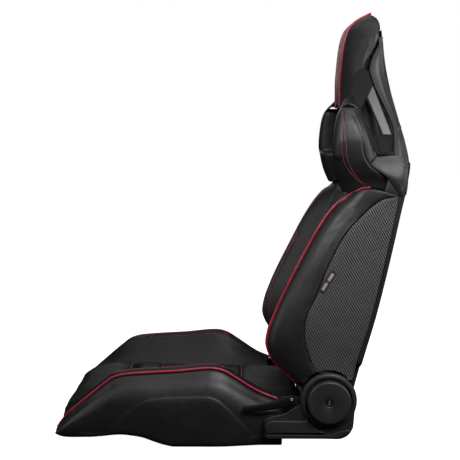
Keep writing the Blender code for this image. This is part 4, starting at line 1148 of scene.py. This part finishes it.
# ---- harness slots ---------------------------------------------------------------------
def make_harness_slots():
    # bezel frame in the darker plastic copy (painted shade); rail, lip and liner in the paler copy
    # (painted highlight)
    outline = filleted([(0.237, 0.718), (0.245, 0.76), (0.26, 0.7865), (0.279, 0.783), (0.288, 0.752),
                        (0.3235, 0.65), (0.32, 0.6085), (0.2892, 0.6085), (0.257, 0.693), (0.252, 0.708)],
                       [0.006, 0.012, 0.01, 0.006, 0.01, 0.006, 0.006, 0.004, 0.004, 0.004])
    window = filleted([(0.26, 0.7), (0.2715, 0.724), (0.302, 0.649), (0.281, 0.648)], 0.0025)
    plate = bevelled("harness_bezel_plate", outline, BEZEL_X, BEZEL_X + 0.004, PLASTIC_SHADED, 0.001,
                     bezel_lean, [window])
    bar_line = filleted([(0.275, 0.726), (0.2865, 0.75), (0.3215, 0.6485), (0.3035, 0.649)],
                        [0.002, 0.003, 0.003, 0.002])
    rail = bevelled("harness_bezel_rail", bar_line, BEZEL_X + 0.0036, BEZEL_X + 0.0066,
                    PLASTIC_LIT, 0.0013, bezel_lean)
    lip = tube("harness_bezel_lip", path_of([(0.196, 0.216, 0.696), (0.199, 0.22, 0.705),
                                             (0.203, 0.23, 0.71), (0.209, 0.245, 0.7055),
                                             (0.215, 0.252, 0.694), (0.227, 0.264, 0.658),
                                             (0.23, 0.276, 0.624), (0.229, 0.285, 0.607)], 0.003), 0.0022,
               PLASTIC_LIT)
    sill = bevelled("harness_bezel_sill",
                    filleted([(0.287, 0.644), (0.317, 0.644), (0.315, 0.612), (0.296, 0.612)], 0.003),
                    BEZEL_X + 0.0036, BEZEL_X + 0.0052, PLASTIC_SHADED, 0.0007, bezel_lean)
    outer = spline(np.array([[(0.204, 0.212, 0.696), (0.204, 0.22, 0.707), (0.206, 0.231, 0.7115),
                              (0.213, 0.245, 0.706)]]), 5, closed=False)[0]
    inner = spline(np.array([[(0.123, 0.226, 0.716), (0.123, 0.231, 0.723), (0.125, 0.238, 0.729),
                              (0.15, 0.245, 0.733)]]), 5, closed=False)[0]
    down = np.array([0.0, 0.001, -0.003])
    collar = skin("harness_bezel_collar", np.stack([outer, inner, inner + down, outer + down], axis=1),
                  PLASTIC_SHADED)
    for name, pieces, node in (("harness_bezel_frame_L", [plate, sill, collar], "harness_bezel"),
                               ("harness_bezel_trim_L", [rail, lip], None)):
        bezel = united(name, pieces)
        bezel.data.set_sharp_from_angle(angle=PLASTIC_SHARP)
        pair(bezel, "backrest", "satin_plastic", node)

    low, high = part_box("slot_liner_L")
    liner_line = filleted([(0.256, 0.6085), (0.248, 0.7), (0.256, 0.7345), (0.292, 0.7345), (0.316, 0.66),
                           (0.322, 0.6085)], 0.005)
    wall = bevelled("slot_liner_wall", liner_line, low.x, high.x, PLASTIC_LIT, 0.0008)
    ribs = [wall]
    for number, y in enumerate((0.266, 0.283)):
        rib = filleted([(y, 0.718), (y + 0.006, 0.718), (y + 0.023, 0.626), (y + 0.015, 0.626)], 0.002)
        ribs.append(bevelled(f"slot_liner_rib_{number}", rib, high.x - 0.0004,
                             high.x + 0.0022, PLASTIC_LIT, 0.0009))
    liner = united("slot_liner_panel_L", ribs)
    liner.data.set_sharp_from_angle(angle=PLASTIC_SHARP)
    pair(liner, "backrest", "satin_plastic", "slot_liner")


def make_side_tag():
    corners = [TAG_MIDDLE + a * TAG_ALONG + b * TAG_ACROSS
               for a, b in ((-0.0255, -0.0068), (0.0255, -0.0068), (0.0255, 0.0068), (-0.0255, 0.0068))]
    outline = filleted([(p.y, p.z) for p in corners], 0.0008)
    tag = bevelled("side_tag_label", outline, TAG_LOW.x - 0.0004, TAG_HIGH.x - 0.0002, TAG, 0.0004)
    dress(tag, "backrest", "tag_fabric", ["side_tag"])


# ---- recliners and lever ---------------------------------------------------------------
def make_recliners():
    low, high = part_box("recliner_cover_L")
    front_y, floor_z = low.y, low.z
    corner = (0.21, floor_z + 0.034)
    face = filleted([(front_y, floor_z), (front_y + 0.002, 0.069), (0.1, 0.078), (0.106, 0.081)],
                    [0.005, 0.008, 0.004, 0.003])
    face += arc(0.057, 186.0, -20.0, 40)
    face += arc(0.034, 0.0, -90.0, 12, corner)
    plate = bevelled("recliner_cover_face", face, 0.255, 0.2615, PLASTIC, 0.0016)
    rim = [(front_y + 0.0035, 0.0675), (front_y + 0.0005, 0.064), (front_y + 0.0005, floor_z + 0.0045),
           (front_y + 0.0045, floor_z + 0.0003), (corner[0], floor_z + 0.0003)]
    rim += arc(0.0337, -90.0, 0.0, 10, corner) + arc(0.0567, -20.0, 0.0, 4)
    rim += arc(0.0537, 0.0, -20.0, 4) + arc(0.0307, 0.0, -90.0, 10, corner)
    rim += [(front_y + 0.006, floor_z + 0.0033), (front_y + 0.0035, floor_z + 0.006)]
    wall = bevelled("recliner_cover_wall", rim, 0.2402, 0.257, PLASTIC, 0.0006)
    arm = filleted([(front_y + 0.0035, 0.0385), (front_y + 0.0035, 0.056), (front_y + 0.012, 0.0655),
                    (0.145, 0.0645), (0.15, 0.069), (0.153, 0.062), (0.162, 0.05), (0.19, 0.0385)],
                   [0.003, 0.006, 0.005, 0.003, 0.002, 0.004, 0.01, 0.004])
    raised = bevelled("recliner_cover_arm", arm, 0.26, 0.2655, PLASTIC, 0.0022)
    band = filleted([(front_y + 0.0035, floor_z + 0.0015), (front_y + 0.0035, 0.036), (0.192, 0.036),
                     (0.212, 0.042), (0.23, 0.047), (0.238, 0.045), (0.23, floor_z + 0.012),
                     (0.21, floor_z + 0.0015)], [0.003, 0.002, 0.008, 0.004, 0.004, 0.006, 0.01, 0.01])
    lower = bevelled("recliner_cover_band", band, 0.26, 0.264, PLASTIC, 0.0014)
    collar = hub("recliner_cover_collar",
                    [(0.258, 0.0578), (0.263, 0.0574), (0.2662, 0.056), (0.2676, 0.0536), (0.268, 0.051),
                     (0.2676, 0.0486), (0.2655, 0.0474), (0.26, 0.047)],
                    PLASTIC)
    cover = united("recliner_cover_shell_L", [plate, wall, raised, lower, collar])
    cover.data.shade_smooth()
    cover.data.set_sharp_from_angle(angle=math.radians(35.0))
    pair(cover, "seat_base", "satin_plastic", "recliner_cover")

    cap = hub("recliner_cap_disc_L",
                 [(0.26, 0.012), (0.265, 0.013), (0.2645, 0.043), (0.266, CAP_R), (0.28, CAP_R),
                  (0.2822, CAP_R - 0.0004), (0.2838, CAP_R - 0.0015), (0.2846, CAP_R - 0.0032),
                  (0.2848, CAP_R - 0.006), (0.2849, 0.03), (0.2849, 0.0095), (0.2843, 0.0082),
                  (0.282, 0.0074),
                  (0.2742, 0.0072)], PLASTIC, 96)
    pair(cap, "seat_base", "satin_plastic", "recliner_cap")
    screw = hub("cap_screw_head_L",
                   [(0.2744, 0.006), (0.278, 0.006), (0.2795, 0.0052), (0.2803, 0.0036), (0.2803, 0.0024),
                    (0.2782, 0.002), (0.278, 0.0008)], ZINC, 48)
    pair(screw, "seat_base", "zinc_steel", "cap_screw")


def make_lever():
    """The release lever's grip: a tapering bar of rounded section, with a groove and a screw."""
    t = np.concatenate([[0.0, 0.01, 0.03], np.linspace(0.07, 0.93, 22), [0.97, 0.99, 1.0]])
    y = 0.122 - 0.106 * t
    z = 0.108 - 0.021 * t - 0.004 * np.sin(math.pi * t)
    ends = np.sqrt(np.clip(np.minimum(t, 1.0 - t) / 0.03, 0.04, 1.0))
    tall = (0.0112 - 0.0066 * t) * ends
    x0 = 0.2486
    x1 = 0.2614 - 0.003 * t - 0.0045 * (1.0 - ends)
    mid, half = 0.5 * (x0 + x1), 0.5 * (x1 - x0)
    sides = 28
    angles = 2.0 * math.pi * (np.arange(sides) + 0.5) / sides
    boxiness = 0.55
    cx, cz = (np.sign(c) * np.abs(c) ** boxiness for c in (np.cos(angles), np.sin(angles)))
    rings = np.stack([mid[:, None] + half[:, None] * cx, np.repeat(y[:, None], sides, axis=1),
                      z[:, None] + tall[:, None] * cz], axis=2)
    # the grip in the darker plastic copy, which paints its shade
    grip = skin("lever_grip_moulding", rings, PLASTIC_SHADED)
    groove = surface_path(grip, [(0.28, 0.03, 0.086), (0.28, 0.07, 0.0935), (0.28, 0.104, 0.1022)])
    sink(grip, groove, 0.0009, 0.0016)
    dress(grip, "release_lever", "satin_plastic", ["lever_grip"])
    profile = [(0.26, 0.0036), (0.2622, 0.0036), (0.2632, 0.003), (0.2637, 0.0018), (0.2637, 0.0014),
               (0.2628, 0.0011)]
    dress(turned("lever_grip_screw", profile, ZINC, 24, 0.1165, 0.109), "release_lever", "zinc_steel")


# ---- CAD pieces that stay --------------------------------------------------------------
def finish_frame_parts():
    """Frame, springs and mechanism keep their CAD shape and get their finish."""
    zinc = ("mount_bar", "seat_spring", "counterbalance_spring", "recliner_shaft")
    for name, obj in frame["nodes"].items():
        if not obj.hide_render:
            obj.data.materials.clear()
            obj.data.materials.append(ZINC if name.startswith(zinc) else STEEL)


# ---- camera, light, floor --------------------------------------------------------------
CAMERA_AT = Vector((2.5487, 0.0171, 0.6867))
CAMERA_PITCH = math.radians(5.709)
CAMERA_YAW = math.radians(0.673)
CAMERA_LENS = 89.17
WHITE = (1.0, 1.0, 1.0, 1.0)


def make_camera():
    camera = linked("camera", bpy.data.cameras.new("camera"))
    camera.data.lens = CAMERA_LENS
    camera.location = CAMERA_AT
    forward = Vector((-math.cos(CAMERA_PITCH) * math.cos(CAMERA_YAW),
                      -math.cos(CAMERA_PITCH) * math.sin(CAMERA_YAW), -math.sin(CAMERA_PITCH)))
    camera.rotation_euler = forward.to_track_quat("-Z", "Y").to_euler()
    bpy.context.scene.camera = camera


def softbox(name, at, aim, width, height, power, spread=180.0):
    data = bpy.data.lights.new(name, "AREA")
    data.shape = "RECTANGLE"
    data.size = width
    data.size_y = height
    data.energy = power
    data.spread = math.radians(spread)
    lamp = linked(name, data)
    lamp.location = at
    lamp.rotation_euler = (Vector(aim) - Vector(at)).to_track_quat("-Z", "Y").to_euler()
    lamp.visible_camera = False


def make_studio():
    scene = bpy.context.scene
    scene.view_settings.view_transform = "Standard"
    scene.world = bpy.data.worlds.new("studio")
    scene.world.use_nodes = True
    backdrop = scene.world.node_tree.nodes["Background"]
    backdrop.inputs["Color"].default_value = WHITE
    scene.world.cycles_visibility.diffuse = False
    scene.world.cycles_visibility.glossy = False
    softbox("overhead", (0.25, 0.0, 2.3), (0.0, 0.05, 0.3), 2.6, 2.6, 15.0)
    softbox("camera_side", (1.7, 0.8, 1.8), (0.2, 0.3, 0.72), 1.2, 1.0, 30.0)
    softbox("upper_front", (1.5, -1.2, 1.5), (0.2, 0.25, 0.62), 0.7, 0.7, 1.1, 45.0)
    softbox("front", (0.3, -2.3, 1.1), (0.0, 0.1, 0.4), 1.6, 1.6, 8.0)
    softbox("behind", (0.6, 2.4, 1.2), (0.0, 0.2, 0.5), 1.6, 1.6, 24.0)
    softbox("far_side", (-2.3, -0.3, 1.5), (0.0, 0.1, 0.4), 1.5, 1.5, 5.0)

    bm = bmesh.new()
    bmesh.ops.create_grid(bm, x_segments=2, y_segments=2, size=14.0)
    mesh = bpy.data.meshes.new("floor")
    bm.to_mesh(mesh)
    bm.free()
    mat, tree, shader = blank("floor_white")
    paint = shade(tree, noise(tree, place_in_row(tree), 6.0, 4.0), (0.9, 0.9, 0.9), (0.93, 0.93, 0.93))
    connect(tree, shader, colour=paint)
    shader.inputs["Roughness"].default_value = 0.9
    shader.inputs["Emission Color"].default_value = WHITE
    shader.inputs["Emission Strength"].default_value = 1.0
    mesh.materials.append(mat)
    floor = linked("floor", mesh)
    floor.location.z = -0.0005
    floor.visible_glossy = False
    floor.visible_diffuse = False


make_camera()
make_cushion()
make_lower_back()
make_gap_flap()
make_rear_shell()
make_wings()
make_upper_back()
make_rear_cover()
make_flanks()
make_headrest()
make_harness_slots()
make_side_tag()
make_recliners()
make_lever()
finish_frame_parts()
make_studio()
